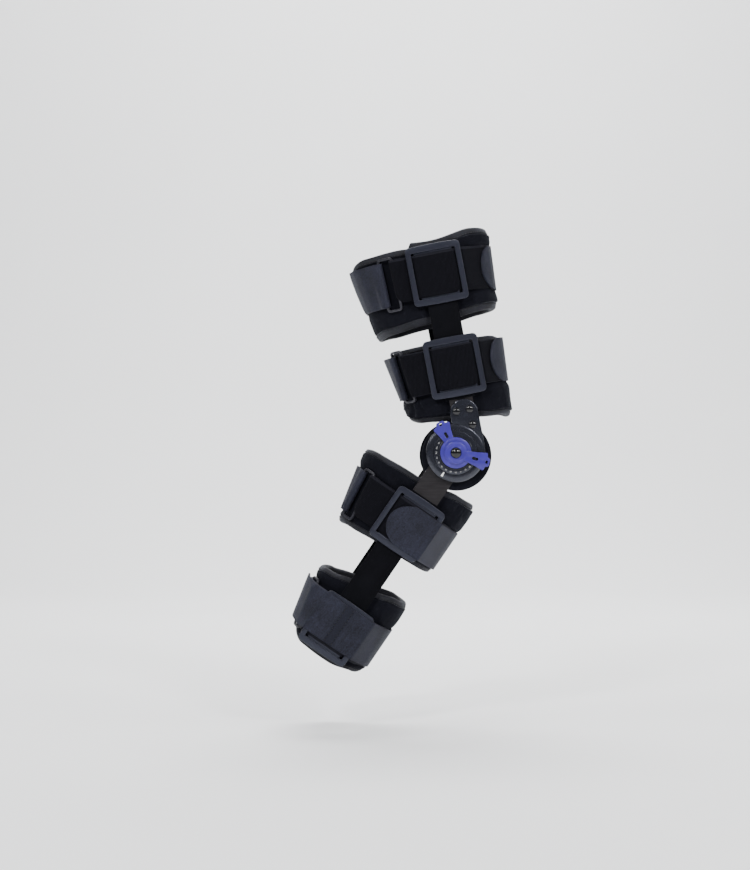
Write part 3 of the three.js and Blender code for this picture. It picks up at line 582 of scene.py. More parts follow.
def metal_finish(name, colour, roughness, metallic, scratch, shine, groove):
    finish = Finish(name, colour, roughness, shine, Metallic=metallic)
    brushed = finish.noise(1.0, 3, finish.mapped(scratch))
    finish.tint(brushed, 0.82, 1.25)
    finish.rough(brushed, roughness * 0.8, roughness * 1.25)
    finish.bump(brushed, 0.02, groove)
    return finish.material


def print_finish(name, share):
    finish = Finish(name, [share * c for c in colours().print_white], 0.55, 0.4)
    finish.tint(finish.noise(500, 3), 0.86, 1.05)
    finish.bump(finish.noise(1500, 2), 0.01, 0.5)
    return finish.material


BLUISH = (0.76, 0.8, 1.0, 1)
FINISHES = {}
FINISH_MAKERS = {
    "pad": pad_finish,
    "hem": hem_finish,
    "lining": lining_finish,
    "hook": hook_finish,
    "loop": loop_finish,
    "sleeve": sleeve_finish,
    "tab": lambda: grain_finish(
        "sewn_tab", colours().hook, 0.7, 0.14, (900, 3), (0.7, 1.25), (0.1, 0.6), (0.03, 0.4, WHITE)),
    # Thread in the pads' dark colour: real stitching, and on the grey tab its dark rows are also painted
    # shade along the stitched edges
    "thread": lambda: grain_finish(
        "sewing_thread_and_painted_shade", colours().pad, 0.6, 0.3, (2500, 2), (0.5, 1.0), (0.05, 0.6)),
    "buckle": lambda: plastic_finish(
        "buckle_plastic", colours().buckle, 0.5, (45, 5, None, 0.65), (0.85, 1.25), (0.3, 0.44),
        (1400, 0.03, 0.25), Specular_Tint=BLUISH),
    "dial": lambda: plastic_finish(
        "dial_plastic", colours().dial, 0.5, (70, 4, None, 0.6), (0.85, 1.3), (0.2, 0.32),
        (1700, 0.02, 0.12), Specular_Tint=BLUISH, Coat_Weight=0.4, Coat_Roughness=0.12),
    "lever": lambda: plastic_finish(
        "lever_plastic", colours().lever, 0.5, (90, 4, None, 0.6), (0.86, 1.14), (0.27, 0.42),
        (1300, 0.02, 0.12), Coat_Weight=0.15, Coat_Roughness=0.2),
    "print": lambda: print_finish("white_print", 1.0),
    "numeral": lambda: print_finish("grey_print", 0.5),
    "rivet": lambda: metal_finish(
        "rivet_black", (0.002, 0.002, 0.003), 0.11, 0.0, (300, 300, 300), 0.5, 0.03),
    "wire": lambda: metal_finish(
        "wire_black", (0.018, 0.018, 0.024), 0.3, 0.2, (200, 200, 700), 0.4, 0.2),
    "bar": lambda: metal_finish(
        "bar_dark_metal", (0.0165, 0.0148, 0.0165), 0.42, 0.5, (60, 60, 900), 0.35, 0.3),
}


def finish_for(name):
    if name not in FINISHES:
        FINISHES[name] = FINISH_MAKERS[name]()
    return FINISHES[name]


# Cuff pads

def lay_map(piece, spots, around, seam=0.0):
    """Gives a cloth its map from one spot for each vertex. Faces across the seam run on past its end."""
    weave = piece.data.uv_layers.get("weave") or piece.data.uv_layers.new(name="weave")
    for face in piece.data.polygons:
        spread = [spots[i][0] for i in face.vertices]
        wraps = max(spread) - min(spread) > 0.1
        for loop in face.loop_indices:
            u, v = spots[piece.data.loops[loop].vertex_index]
            weave.data[loop].uv = (u + (around if wraps and u < seam else 0), v)


def edge_share(edge, a):
    """Smooth value round the limb from the five named places, the same on the inner side."""
    ring = edge + edge[3:0:-1]
    place = (a / TURN) % 1.0 * len(ring)
    index = int(place)
    return lerp(ring[index % 8], ring[(index + 1) % 8], ease(place - index, 0, 1))


def crease(a, s, seed):
    """Folds of the cover: long soft ones across the limb and short sharp ones."""
    long_fold = noise.noise(Vector((math.cos(a) * 2.2 + seed, math.sin(a) * 2.2, s * 0.055)))
    sharp = 1 - abs(noise.noise(Vector((math.cos(a) * 3.5, math.sin(a) * 3.5 + seed, s * 0.09)))) * 4
    return long_fold - 0.9 * max(0.0, sharp) ** 3


def fold_depth(folds, x, s):
    """Grooves with a raised lip beside them along the named folds."""
    depth = 0.0
    for x0, s0, x1, s1, width, deep in folds:
        run_x, run_s = x1 - x0, s1 - s0
        share = clamp(((x - x0) * run_x + (s - s0) * run_s) / (run_x ** 2 + run_s ** 2))
        away = math.hypot(x - x0 - share * run_x, s - s0 - share * run_s) / width
        fade = 1 - 0.75 * share
        depth += deep * fade * (math.exp(-away ** 2) - 0.45 * math.exp(-(away - 1.9) ** 2))
    return depth


def pad_edges(cuff, limb, a):
    """The pad's lower and upper edge at an angle."""
    height = cuff["high"] - cuff["low"]
    low = cuff["low"] + height * edge_share(cuff["low_edge"], a)
    high = cuff["high"] + height * edge_share(cuff["high_edge"], a)
    if cuff["step"] and math.sin(a) < 0:
        away = section_x(limb, a, high) - cuff["overlap"][0]
        high += cuff["step"] * clamp(away / 2, -1, 1) * math.exp(-abs(away) / 26)
    return low, high


def section_x(limb, a, s):
    centre, depth, _ = section(limb, s)
    return centre + depth * power(math.cos(a), 2 / ROUNDNESS)


def pad_lift(cuff, limb, a, s):
    """Height of the pad's cover over the nominal surface, without its bound edges."""
    low, high = pad_edges(cuff, limb, a)
    away = abs(s - cuff["strap"]) - STRAP_HALF
    swell = cuff["swell"][0] if s < cuff["strap"] else cuff["swell"][1]
    rise = swell * ease(away, -1.5, 7)
    x = section_x(limb, a, s)
    outer_side = math.sin(a) < 0
    end_x, inset, layer = cuff["overlap"]
    round_front = ease(math.cos(a), -0.2, 0.5) if not outer_side else ease(x - end_x, -0.8, 0.8)
    inside = ease(min(s - low, high - s) - inset, -0.7, 0.7)
    rise += layer * round_front * inside * (1 if away > 0 else 0.2)
    on_side = abs(math.cos(a)) < 0.8
    flat = 1 - ease(abs(x - limb["bar_x"]), 17, 24) if on_side else 0.0
    buckle_x, buckle_s = cuff["buckle"]
    over = (1 - ease(abs(x - buckle_x), 30, 40)) * (1 - ease(abs(s - buckle_s), 33, 38))
    if on_side:
        rise = min(rise, 3.5 - 2.5 * over)
    wrinkle = sizes().wrinkle / MM * crease(a, s, cuff["seed"]) * ease(away, 0, 6)
    if outer_side:
        wrinkle -= fold_depth(cuff["folds"], x, s) * ease(away, 0, 4)
    lift = (rise + wrinkle) * (1 - flat) - 0.35 * flat
    return lift if away > 0 else min(lift, 0.3)


def pad_cover(cuff, limb, a, s):
    """Height of the finished cover: a rounded bound edge, the seam beside it and the padded field."""
    low, high = pad_edges(cuff, limb, a)
    hem = cuff["hem"]
    edge = min(s - low, high - s)
    cover = pad_lift(cuff, limb, a, s)
    if edge < hem:
        share = clamp(edge / hem)
        cover = lerp(-2.4, min(cover, 1.6) - 0.1, math.sqrt(1 - (1 - share) ** 2))
    cover -= 1.15 * math.exp(-((edge - hem) / 0.65) ** 2)
    return cover


EDGE_ROWS = (0, 0.12, 0.26, 0.42, 0.58, 0.72, 0.84, 0.92, 1.0, 1.08, 1.16, 1.28, 1.45)
FIELD_ROWS = 30
ROUND_ROWS = 7
LINING_ROWS = 14
BIND = 2.6                        # half height of the rounded edge, in millimetres


def lengths_along(points):
    """Length of a line of points up to each of them."""
    run = [0.0]
    for one, two in zip(points, points[1:]):
        run.append(run[-1] + (two - one).length)
    return run


def even_steps(run, count, offset):
    """Segment and share of it at equal lengths along a line."""
    at = 0
    for i in range(count):
        want = run[-1] * (i + offset) / count
        while run[at + 1] < want:
            at += 1
        yield at, (want - run[at]) / (run[at + 1] - run[at])


def even_angles(limb, s, count):
    """Angles at equal lengths round a limb."""
    fine = [TURN * i / 2880 for i in range(2881)]
    run = lengths_along([skin(limb, a, s, 0) for a in fine])
    return [lerp(fine[at], fine[at + 1], share) for at, share in even_steps(run, count, 0)], run[-1]


def pad_rows(low, high, hem):
    """Places s along the cover, crowded at its two seams."""
    near = [share * hem for share in EDGE_ROWS]
    start, end = low + near[-1], high - near[-1]
    field = [lerp(start, end, (i + 1) / (FIELD_ROWS + 1)) for i in range(FIELD_ROWS)]
    return [low + d for d in near] + field + [high - d for d in reversed(near)]


def round_rows(s, bulge, start, end):
    """Places s and heights round a bound edge, from one face of the pad to the other."""
    turns = [math.pi * (i + 1) / (ROUND_ROWS + 1) for i in range(ROUND_ROWS)]
    return [(s + bulge * math.sin(turn), lerp(start, end, (1 - math.cos(turn)) / 2)) for turn in turns]


def cuff_pad(name, cuff):
    limb = LIMBS[cuff["limb"]]
    columns = sizes().pad_columns
    outer_rows = 2 * len(EDGE_ROWS) + FIELD_ROWS
    count = outer_rows + 2 * ROUND_ROWS + LINING_ROWS
    deselect()
    bpy.ops.mesh.primitive_torus_add(
        major_segments=columns, minor_segments=count, major_radius=0.06, minor_radius=0.01)
    pad = bpy.context.object
    angles, around = even_angles(limb, cuff["strap"], columns)
    places, spots = [], []
    for column, a in enumerate(angles):
        low, high = pad_edges(cuff, limb, a)
        rows = pad_rows(low + BIND, high - BIND, cuff["hem"] - BIND)
        ring = [(s, pad_cover(cuff, limb, a, s)) for s in rows]
        top, bottom = ring[-1][1], ring[0][1]
        back = -PAD_THICK + 0.9
        ring += round_rows(high - BIND, BIND, top, back)
        for i in range(LINING_ROWS):
            s = lerp(high - BIND, low + BIND, i / (LINING_ROWS - 1))
            edge = min(s - low, high - s)
            ring.append((s, -PAD_THICK + 0.9 * (1 - ease(edge, 2, 9))))
        ring += round_rows(low + BIND, -BIND, back, bottom)
        for s, lift in ring:
            places.append(skin(limb, a, s, lift))
            spots.append((column / columns * around, s * MM))
    for vertex, place in zip(pad.data.vertices, places):
        vertex.co = place
    pad.data.update()
    lay_map(pad, spots, around, 0.1)
    kinds = []
    hem_rows = EDGE_ROWS.index(1.0)
    for face in pad.data.polygons:
        rows = [v % count for v in face.vertices]
        row = min(rows) if max(rows) - min(rows) < count / 2 else max(rows)
        lining = outer_rows + ROUND_ROWS <= row < outer_rows + ROUND_ROWS + LINING_ROWS - 1
        field = hem_rows <= row < outer_rows - hem_rows - 1
        kinds.append(2 if lining else 0 if field else 1)
    smooth(pad, 60)
    dress(pad, f"{name}_cushion", cuff["limb"], "pad", [f"{name}_pad"])
    pad.data.materials.append(finish_for("hem"))
    pad.data.materials.append(finish_for("lining"))
    for face, kind in zip(pad.data.polygons, kinds):
        face.material_index = kind


def condyle_pad(side, tag):
    """Round pad between the hinge and the knee, with a soft crowned rim."""
    inner, outer, radius = KNEE_PAD["inner"], KNEE_PAD["outer"], KNEE_PAD["radius"]
    profile = [(0, outer), (radius - 3, outer), (radius - 1.2, outer - 0.4), (radius - 0.3, outer - 1.4)]
    profile += [(radius, outer - 3), (radius + 0.2, outer - 4.7), (radius, inner + 3)]
    profile += [(radius - 0.7, inner + 1.2), (radius - 2.2, inner + 0.25), (radius - 5, inner), (0, inner)]
    pad = turned_piece(profile, 96)
    place = hinge_place(side)
    move_points(pad, lambda co: place(co) + Vector((KNEE_PAD["x"], 0, KNEE_PAD["z"])) * MM)
    lay_map(pad, [(vertex.co.x, vertex.co.z) for vertex in pad.data.vertices], 0)
    tidy_mesh(pad)
    smooth(pad, 50)
    dress(pad, f"knee_cushion_{tag}", "thigh", "pad", [f"condyle_pad_{tag}"])


# Pieces refined from the frame's own shapes

def frame_copy(node):
    """Copy of a CAD node's mesh with its triangles merged into one closed skin."""
    copy = linked("copy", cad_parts[node].data.copy())
    tidy_mesh(copy, 1e-5)
    return copy


def rounded_copy(node, width, angle):
    """Copy of a CAD node's mesh whose sharp edges are rounded by a width in millimetres."""
    copy = frame_copy(node)
    soften = copy.modifiers.new("round", "BEVEL")
    soften.width = width * MM
    soften.segments = 3
    soften.limit_method = "ANGLE"
    soften.angle_limit = math.radians(50)
    apply_modifiers(copy)
    smooth(copy, angle)
    return copy


def choose_edges(piece, wanted):
    """Selects the edges that a test picks, leaving edit mode on, and says how many there are."""
    bpy.ops.object.mode_set(mode="OBJECT")
    for item in (*piece.data.vertices, *piece.data.polygons):
        item.select = False
    count = 0
    for edge in piece.data.edges:
        edge.select = wanted(edge)
        count += edge.select
    bpy.ops.object.mode_set(mode="EDIT")
    return count


def edge_length(piece, edge):
    one, two = (piece.data.vertices[i].co for i in edge.vertices)
    return (one - two).length


def even_ends(piece, limb, middle):
    """Evens the outline of a strap's ends, whose sharp edges are selected, into a smooth curve."""
    near = {}
    for edge in piece.data.edges:
        if edge.select:
            one, two = edge.vertices
            near.setdefault(one, []).append(two)
            near.setdefault(two, []).append(one)
    turn = limb_turn(limb).inverted()
    points = piece.data.vertices
    for _ in range(12):
        moved = {}
        for i, others in near.items():
            s = (turn @ points[i].co).z * limb["up"] / MM
            if len(others) == 2 and abs(s - middle) < STRAP_HALF - 0.6:
                moved[i] = points[i].co * 0.5 + (points[others[0]].co + points[others[1]].co) * 0.25
        for i, co in moved.items():
            points[i].co = co
    piece.data.update()


def strap(name, cuff_name, kind):
    """Strap with smooth turns and rounded edges, grown from its faceted form."""
    cuff = CUFFS[cuff_name]
    limb = LIMBS[cuff["limb"]]
    node = f"{cuff_name}_{kind}_strap"
    piece = frame_copy(node)
    pick(piece)
    bpy.ops.object.mode_set(mode="EDIT")
    bpy.ops.mesh.select_mode(type="EDGE")
    bpy.ops.mesh.select_all(action="SELECT")
    bpy.ops.mesh.tris_convert_to_quads(face_threshold=math.radians(50), shape_threshold=math.radians(60))
    for _ in range(4):
        if choose_edges(piece, lambda edge: edge_length(piece, edge) > 7 * MM):
            bpy.ops.mesh.subdivide(number_cuts=1)
    bpy.ops.mesh.select_all(action="DESELECT")
    bpy.ops.mesh.edges_select_sharp(sharpness=math.radians(60))
    bpy.ops.transform.edge_crease(value=0.75)
    bpy.ops.object.mode_set(mode="OBJECT")
    even_ends(piece, limb, cuff["strap"])
    grow = piece.modifiers.new("smooth", "SUBSURF")
    grow.levels = grow.render_levels = 2 if kind == "hook" else 1
    apply_modifiers(piece)
    turn = limb_turn(limb).inverted()
    spots = []
    for vertex in piece.data.vertices:
        flat = turn @ vertex.co
        s = flat.z * limb["up"] / MM
        centre, depth, _ = section(limb, s)
        angle = math.atan2(flat.y / MM, flat.x / MM - centre)
        spots.append((angle * (depth + 2) * MM, (s - cuff["strap"]) * MM))
    lay_map(piece, spots, 0.4)
    smooth(piece, 50)
    dress(piece, name, cuff["limb"], kind, [node])


def one_thread():
    """One stitch along X with Z outward: a short bar whose ends dip into the cloth."""
    length, thick = sizes().stitch_length, 0.34 * MM
    deselect()
    bpy.ops.mesh.primitive_cylinder_add(
        vertices=6, radius=thick, depth=length * 0.68, rotation=(0, TURN / 4, 0))
    thread = bpy.context.object
    bpy.ops.object.transform_apply(location=False, rotation=True, scale=False)
    bpy.ops.object.mode_set(mode="EDIT")
    bpy.ops.mesh.select_mode(type="FACE")
    for way in (-1, 1):
        bpy.ops.object.mode_set(mode="OBJECT")
        for face in thread.data.polygons:
            face.select = face.normal.x * way > 0.9
        bpy.ops.object.mode_set(mode="EDIT")
        bpy.ops.mesh.extrude_region_move(
            TRANSFORM_OT_translate={"value": (way * length * 0.16, 0, -0.55 * thick)})
        bpy.ops.transform.resize(value=(1, 0.35, 0.35))
        bpy.ops.mesh.select_all(action="DESELECT")
    bpy.ops.object.mode_set(mode="OBJECT")
    return thread


def stitches(places, name, body):
    """Row of short threads through places given as point and outward direction."""
    thread = one_thread()
    run = lengths_along([place for place, _ in places])
    count = max(1, int(run[-1] / (sizes().stitch_length * 1.45)))
    row = []
    for at, share in even_steps(run, count, 0.5):
        middle = places[at][0].lerp(places[at + 1][0], share)
        along = (places[at + 1][0] - places[at][0]).normalized()
        out = places[at][1].lerp(places[at + 1][1], share)
        out = (out - along * out.dot(along)).normalized()
        turn = Matrix((along, out.cross(along), out)).transposed()
        stitch = linked("stitch", thread.data.copy())
        move_points(stitch, lambda co: middle + turn @ co)
        row.append(stitch)
    bpy.data.objects.remove(thread)
    row = joined(row)
    tidy_mesh(row, 1e-7)
    smooth(row, 60)
    dress(row, name, body, "thread")


def hem_stitches(name, cuff):
    """Thread beside both bound edges of a pad."""
    limb = LIMBS[cuff["limb"]]
    inset = cuff["hem"] * 0.72
    for end in ("low", "high"):
        places = []
        for i in range(361):
            a = TURN * i / 360
            low, high = pad_edges(cuff, limb, a)
            s = low + inset if end == "low" else high - inset
            lift = pad_cover(cuff, limb, a, s)
            point = skin(limb, a, s, lift + 0.12)
            places.append((point, skin(limb, a, s, lift + 2) - point))
        stitches(places, f"{name}_{end}_stitching", cuff["limb"])


# Operators

class Maker:
    """Operator that makes one group of pieces"""

    def execute(self, context):
        self.make()
        return {"FINISHED"}


class BRACE_OT_stage(Maker, bpy.types.Operator):
    """Adds the floor, the soft lights and the camera"""

    bl_idname = "brace.stage"
    bl_label = "Stage"

    def make(self):
        deselect()
        low = CAD_BOX[0].z - FLOOR_BELOW
        bpy.ops.mesh.primitive_plane_add(size=1, location=(0, 0, 0))
        floor = bpy.context.object
        floor.name = "floor_and_backdrop"
        move_points(floor, lambda co: Vector((9 * co.x, 5 * co.y - 0.6, low)))
        pick(floor)
        bpy.ops.object.mode_set(mode="EDIT")
        bpy.ops.mesh.select_mode(type="EDGE")
        far = max(vertex.co.y for vertex in floor.data.vertices) - MM
        choose_edges(floor, lambda edge: all(floor.data.vertices[i].co.y > far for i in edge.vertices))
        for step in range(SWEEP_STEPS):
            a0, a1 = (TURN / 4 * k / SWEEP_STEPS for k in (step, step + 1))
            shift = Vector((0, math.sin(a1) - math.sin(a0), math.cos(a0) - math.cos(a1))) * SWEEP_RADIUS
            bpy.ops.mesh.extrude_region_move(TRANSFORM_OT_translate={"value": shift})
        bpy.ops.mesh.extrude_region_move(TRANSFORM_OT_translate={"value": (0, 0, 3.5)})
        bpy.ops.object.mode_set(mode="OBJECT")
        tidy_mesh(floor, 0)
        smooth(floor, 60)
        finish = Finish("pale_floor", colours().floor, 0.85, 0.2)
        finish.tint(finish.noise(3, 3), 0.98, 1.0)
        floor.data.materials.append(finish.material)
        self.lights()
        camera_data = bpy.data.cameras.new("camera")
        camera = linked("camera", camera_data)
        camera.location = CAMERA_AT
        camera.rotation_euler = (math.radians(90), 0, 0)
        camera_data.lens = CAMERA_LENS
        camera_data.clip_end = 20
        bpy.context.scene.camera = camera

    def lights(self):
        world = bpy.data.worlds.new("studio")
        bpy.context.scene.world = world
        world.use_nodes = True
        background = world.node_tree.nodes["Background"].inputs
        background["Color"].default_value = (0.93, 0.95, 1.0, 1)
        background["Strength"].default_value = 0.3
        soft_boxes = (
            ("key_left", (-0.85, -1.75, 1.3), 0.36, 33),
            ("key_right", (1.0, -1.7, 1.2), 0.36, 29),
            ("edge_left", (-1.35, -0.55, 0.85), 0.5, 7.5),
            ("edge_right", (1.35, -0.55, 0.75), 0.5, 7),
            ("top", (0.0, 0.3, 1.9), 1.6, 19),
            ("rim_back", (0.3, 1.5, 1.3), 1.2, 12),
            ("backdrop", (0.0, 1.1, 2.2), 1.4, 105),
        )
        for name, place, size, energy in soft_boxes:
            data = bpy.data.lights.new(name, "AREA")
            data.shape = "SQUARE"
            data.size = size
            data.energy = energy
            lamp = linked(name, data)
            lamp.location = place
            aim = BACKDROP_MIDDLE if name == "backdrop" else (0, 0, 0)
            lamp.rotation_euler = (Vector(aim) - Vector(place)).to_track_quat("-Z", "Y").to_euler()


class BRACE_OT_pads(Maker, bpy.types.Operator):
    """Makes the four cuff pads and the two round knee pads"""

    bl_idname = "brace.pads"
    bl_label = "Pads"

    def make(self):
        for name, cuff in CUFFS.items():
            cuff_pad(name, cuff)
            hem_stitches(name, cuff)
        condyle_pad(-1, "outer")
        condyle_pad(1, "inner")


class BRACE_OT_straps(Maker, bpy.types.Operator):
    """Makes the black loop straps and the grey hook straps"""

    bl_idname = "brace.straps"
    bl_label = "Straps"

    def make(self):
        for name in CUFFS:
            strap(f"{name}_loop_webbing", name, "loop")
            strap(f"{name}_hook_webbing", name, "hook")
        self.sewn_tab()

    def sewn_tab(self):
        """Narrow strip that is sewn across the lowest strap where it lies on the buckle."""
        limb, middle = LIMBS["calf"], CUFFS["calf_lower"]["strap"]
        top = limb["sleeve_out"] + GAP + BUCKLE["rim"] + GAP + STRAP_THICK
        tab = cut_plate([rounded_box_points(1.0, middle, 10, 48.6, 0.6, 0, 2)], top - 0.05, top + 0.7, 0.25)
        place = side_place(limb, -1)
        settle(tab, place, 40)
        dress(tab, "calf_lower_sewn_tab", "calf", "tab")
        # Stitch rows just inside the tab's edges; their dark thread is also painted shade along those edges
        for x in (-3.5, 5.5):
            row = [Vector((x, middle - 23.5 + k, top + 0.75)) * MM for k in range(48)]
            places = [(place(p), place(p + Vector((0, 0, MM))) - place(p)) for p in row]
            stitches(places, f"calf_lower_tab_stitching_{x:g}", "calf")


class BRACE_OT_buckles(Maker, bpy.types.Operator):
    """Makes the eight buckle plates with their slots and raised rims"""

    bl_idname = "brace.buckles"
    bl_label = "Buckles"

    def make(self):
        for name, cuff in CUFFS.items():
            limb = LIMBS[cuff["limb"]]
            x, s = cuff["buckle"]
            self.buckle(name, limb, cuff["limb"], -1, "outer", x, s)
            self.buckle(name, limb, cuff["limb"], 1, "inner", x, cuff["strap"])

    def buckle(self, name, limb, body, side, tag, x, s):
        base = limb["sleeve_out"] + GAP
        width, height = BUCKLE["width"] - 0.1, BUCKLE["height"] - 1.6
        outline = rounded_box_points(x, s, width, height, BUCKLE["corner"], 0.7)
        window = rounded_box_points(x, s, BUCKLE["window"], BUCKLE["slot"], 1.0, 0, 4)
        rim = cut_plate([outline, window], base, base + BUCKLE["rim"], 0.7)
        panel = rounded_box_points(x, s, BUCKLE["panel"], BUCKLE["slot"] + 4, 0.8, 0, 3)
        panel = cut_plate([panel], base + 0.02, base + 1.4, 0.3)
        plate = joined([rim, panel])
        settle(plate, side_place(limb, side), 35)
        node = f"{name}_buckle_{tag}"
        dress(plate, f"{name}_frame_{tag}", body, "buckle", [node])


class BRACE_OT_rings(Maker, bpy.types.Operator):
    """Makes the four wire rings with rounded wire and corners"""

    bl_idname = "brace.rings"
    bl_label = "Rings"

    def make(self):
        for name, cuff in CUFFS.items():
            ring = rounded_copy(f"{name}_ring", 0.75, 50)
            dress(ring, f"{name}_wire_loop", cuff["limb"], "wire", [f"{name}_ring"])


class BRACE_OT_bars(Maker, bpy.types.Operator):
    """Makes the fabric sleeves and finishes the side bars"""

    bl_idname = "brace.bars"
    bl_label = "Bars and sleeves"

    def make(self):
        for tag in ("outer", "inner"):
            for part in LIMBS:
                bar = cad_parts[f"{part}_bar_{tag}"]
                bar.data.materials.clear()
                bar.data.materials.append(finish_for("bar"))
                node = f"{part}_sleeve_{tag}"
                sleeve = rounded_copy(node, 0.9, 40)
                dress(sleeve, f"{part}_bar_cover_{tag}", part, "sleeve", [node])


class BRACE_OT_hinges(Maker, bpy.types.Operator):
    """Makes the hinge housings, the rivets and the inner cover"""

    bl_idname = "brace.hinges"
    bl_label = "Hinges"

    def make(self):
        for side, tag in ((-1, "outer"), (1, "inner")):
            self.housing(side, tag)
            self.rivets(side, tag)
        cover = turned_piece([
            (3.9, 67.6), (31.2, 67.6), (31.2, 68.9), (30.7, 69.4), (26, 69.4), (25.6, 69.1), (12, 69.1),
            (11.6, 69.4), (3.9, 69.4), (3.9, 67.6)])
        settle(cover, hinge_place(1), 30)
        dress(cover, "inner_hinge_cover", "thigh", "dial", ["hinge_cover_inner"])

    def housing(self, side, tag):
        low, high = HINGE["plate_in"], HINGE["plate_out"]
        r = HOUSING_RADIUS
        disc = turned_piece([
            (3.8, low), (r - 0.5, low), (r, low + 0.5), (r, high - 1.6), (r - 0.25, high - 0.9),
            (r - 0.9, high - 0.25), (r - 1.6, high), (3.8, high), (3.8, low)])
        move_points(disc, hinge_place(side))
        half = (TONGUE["front"] - TONGUE["rear"]) / 2
        middle = TONGUE["rear"] + half
        outline = [(TONGUE["rear"], 18), (middle, 16), (TONGUE["front"], 0)]
        outline += arc_points(middle, TONGUE["top"] - half, half, 0, 180, 32)
        tongue = cut_plate([outline], high - 2.5, high + 0.02, 1.0)
        move_points(tongue, side_place(LIMBS["thigh"], side))
        plate = joined([disc, tongue])
        tidy_mesh(plate)
        smooth(plate, 30)
        node = f"hinge_plate_{tag}"
        dress(plate, f"hinge_housing_{tag}", "thigh", "dial", [node])

    def rivets(self, side, tag):
        foot = HINGE["plate_out"] + 0.05
        for index, (x, s) in enumerate(RIVETS):
            rivet = turned_piece([(0, foot)] + dome_profile(4.3, foot, 2.4), 48)
            move_points(rivet, lambda co: co + Vector((x * MM, s * MM, 0)))
            settle(rivet, side_place(LIMBS["thigh"], side), 40)
            name = f"rivet_{index + 1}_{tag}"
            dress(rivet, f"small_{name}", "thigh", "rivet", [f"plate_{name}"])
        head = 74.1 if side < 0 else 69.7
        axle = turned_piece([(0, 59.8), (3.5, 59.8), (3.5, head)] + dome_profile(6, head, 4), 64)
        settle(axle, hinge_place(side), 40)
        dress(axle, f"axle_{tag}", "thigh", "rivet", [f"hinge_rivet_{tag}"])


class BRACE_OT_dial(Maker, bpy.types.Operator):
    """Makes the dial with its numerals, the index ring and the white pointer"""

    bl_idname = "brace.dial"
    bl_label = "Dial"

    def make(self):
        low, high = HINGE["plate_out"] + GAP, HINGE["face_out"]
        face = turned_piece([
            (3.8, low), (24.2, low), (24.2, high - 0.35), (24.0, high - 0.1), (23.7, high), (19.4, high),
            (19.2, high - 0.15), (18.9, high - 0.15), (18.7, high), (3.8, high), (3.8, low)])
        settle(face, hinge_place(-1), 30)
        dress(face, "dial_disc", "thigh", "dial", ["dial_face"])
        ring = turned_piece([
            (24.5, low), (31.2, low), (31.2, high - 1.5), (30.9, high - 1.12), (30.2, high - 0.82),
            (28.4, high - 0.52), (26.6, high - 0.4), (24.9, high - 0.4), (24.5, high - 0.65), (24.5, low)])
        settle(ring, hinge_place(-1), 30)
        dress(ring, "index_rim", "calf", "dial", ["index_ring"])
        pointer = [(24.8, -0.45), (30.1, -1.3), (30.1, 1.3), (24.8, 0.45)]
        pointer = cut_plate([pointer], high - 0.33, high - 0.1, 0.05)
        move_points(pointer, hinge_place(-1, POINTER_AT))
        tidy_mesh(pointer)
        dress(pointer, "pointer_mark", "calf", "print", ["index_pointer"])
        self.numerals(high)

    def numerals(self, face):
        pieces = []
        step = NUMERALS["step"]
        for index in range(NUMERALS["count"]):
            degrees = NUMERALS["first"] + step * index
            value = abs(round((NUMERALS["zero"] - degrees) / step) * step)
            curve = bpy.data.curves.new("numeral", "FONT")
            curve.body = str(value)
            curve.size = sizes().numeral_height * 1.4
            curve.align_x = "CENTER"
            curve.align_y = "CENTER"
            curve.extrude = 0.03 * MM
            text = as_mesh(curve)
            turn = Matrix.Rotation(math.radians(degrees + 90), 3, "Z")
            out = Matrix.Rotation(math.radians(degrees), 3, "Z") @ Vector((NUMERALS["radius"] * MM, 0, 0))
            move_points(text, lambda co: turn @ co + out + Vector((0, 0, (face + 0.04) * MM)))
            pieces.append(text)
        numerals = joined(pieces)
        move_points(numerals, hinge_place(-1))
        tidy_mesh(numerals, 0)
        dress(numerals, "dial_numerals", "thigh", "numeral")


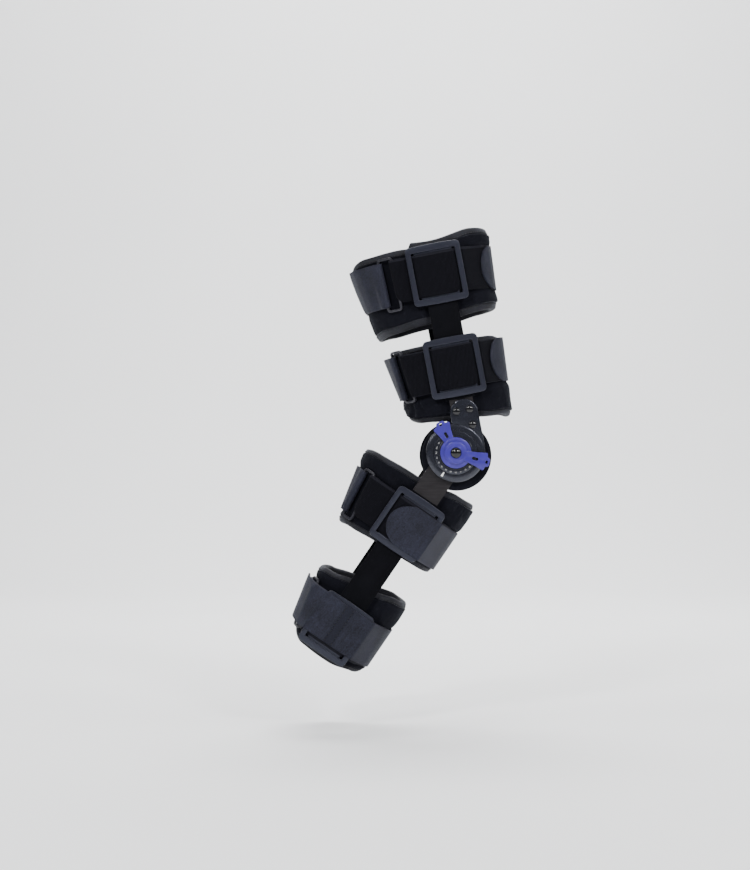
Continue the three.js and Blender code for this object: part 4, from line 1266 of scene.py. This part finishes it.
class BRACE_OT_levers(Maker, bpy.types.Operator):
    """Makes the two blue stop levers"""

    bl_idname = "brace.levers"
    bl_label = "Stop levers"

    def make(self):
        for motion, lever in LEVERS.items():
            self.lever(motion, lever["hub"], lever["at"], lever["low"])

    def lever(self, motion, hub, degrees, low):
        leave = math.degrees(math.asin(LEVER["start"] / 2 / hub))
        half, tab, reach = LEVER["end"] / 2, LEVER["tab"] / 2, LEVER["reach"]
        tip = reach + LEVER["out"]
        flank = [(lerp(hub, LEVER["shoulder"], 0.5), -lerp(LEVER["start"] / 2, half, 0.47))]
        flank += arc_points(LEVER["shoulder"] - 0.7, -half + 1.8, 1.8, -90, -10, 6)
        flank += [(reach + 0.3, -tab - 0.6)] + arc_points(tip - 2.2, -tab + 2.4, 2.2, -80, 0, 5)
        outline = arc_points(0, 0, hub, leave, 360 - leave, 72)
        outline += flank + [(x, -y) for x, y in reversed(flank)]
        slit = rounded_box_points(22, 0, 7, 3.2, 1.4, 0, 5)
        eye = rounded_box_points(reach + 0.6, 0, 2.5, 3.3, 0.5, 0, 3)
        lever = cut_plate([outline, circle_points(3.9, 48), slit, eye], low, low + LEVER["thick"] - 0.1, 0.5)
        top = low + LEVER["thick"] - 0.15
        lip = self.ridge(hub - 2.6, hub - 0.9, top)
        step = self.ridge(hub - 6.4, hub - 5.1, top)
        lever = joined([lever, lip, step])
        settle(lever, hinge_place(-1, degrees), 35)
        body = f"{motion}_stop"
        dress(lever, f"{motion}_lever", body, "lever", [f"{body}_lever"])

    def ridge(self, inner, outer, top):
        """Low raised ring on a lever's hub."""
        return turned_piece([
            (inner, top), (outer, top), (outer - 0.2, top + 0.13), (inner + 0.2, top + 0.13),
            (inner, top)], 72)


class BRACE_PT_panel(bpy.types.Panel):
    """Lists the brace's makers in the sidebar"""

    bl_label = "Knee brace"
    bl_idname = "BRACE_PT_panel"
    bl_space_type = "VIEW_3D"
    bl_region_type = "UI"
    bl_category = "Knee brace"

    def draw(self, context):
        for maker in MAKERS:
            self.layout.operator(maker.bl_idname)
        for group in (context.scene.brace_sizes, context.scene.brace_colours):
            for key in group.bl_rna.properties.keys():
                if key not in ("rna_type", "name"):
                    self.layout.prop(group, key)


MAKERS = (
    BRACE_OT_stage, BRACE_OT_pads, BRACE_OT_straps, BRACE_OT_buckles, BRACE_OT_rings, BRACE_OT_bars,
    BRACE_OT_hinges, BRACE_OT_dial, BRACE_OT_levers,
)
CLASSES = (BraceSizes, BraceColours) + MAKERS + (BRACE_PT_panel,)


def register():
    for item in CLASSES:
        bpy.utils.register_class(item)
    bpy.types.Scene.brace_sizes = bpy.props.PointerProperty(type=BraceSizes)
    bpy.types.Scene.brace_colours = bpy.props.PointerProperty(type=BraceColours)


def unregister():
    del bpy.types.Scene.brace_colours
    del bpy.types.Scene.brace_sizes
    for item in reversed(CLASSES):
        bpy.utils.unregister_class(item)


def main():
    register()
    bpy.ops.brace.stage()
    bpy.ops.brace.pads()
    bpy.ops.brace.straps()
    bpy.ops.brace.buckles()
    bpy.ops.brace.rings()
    bpy.ops.brace.bars()
    bpy.ops.brace.hinges()
    bpy.ops.brace.dial()
    bpy.ops.brace.levers()


if __name__ == "__main__":
    main()
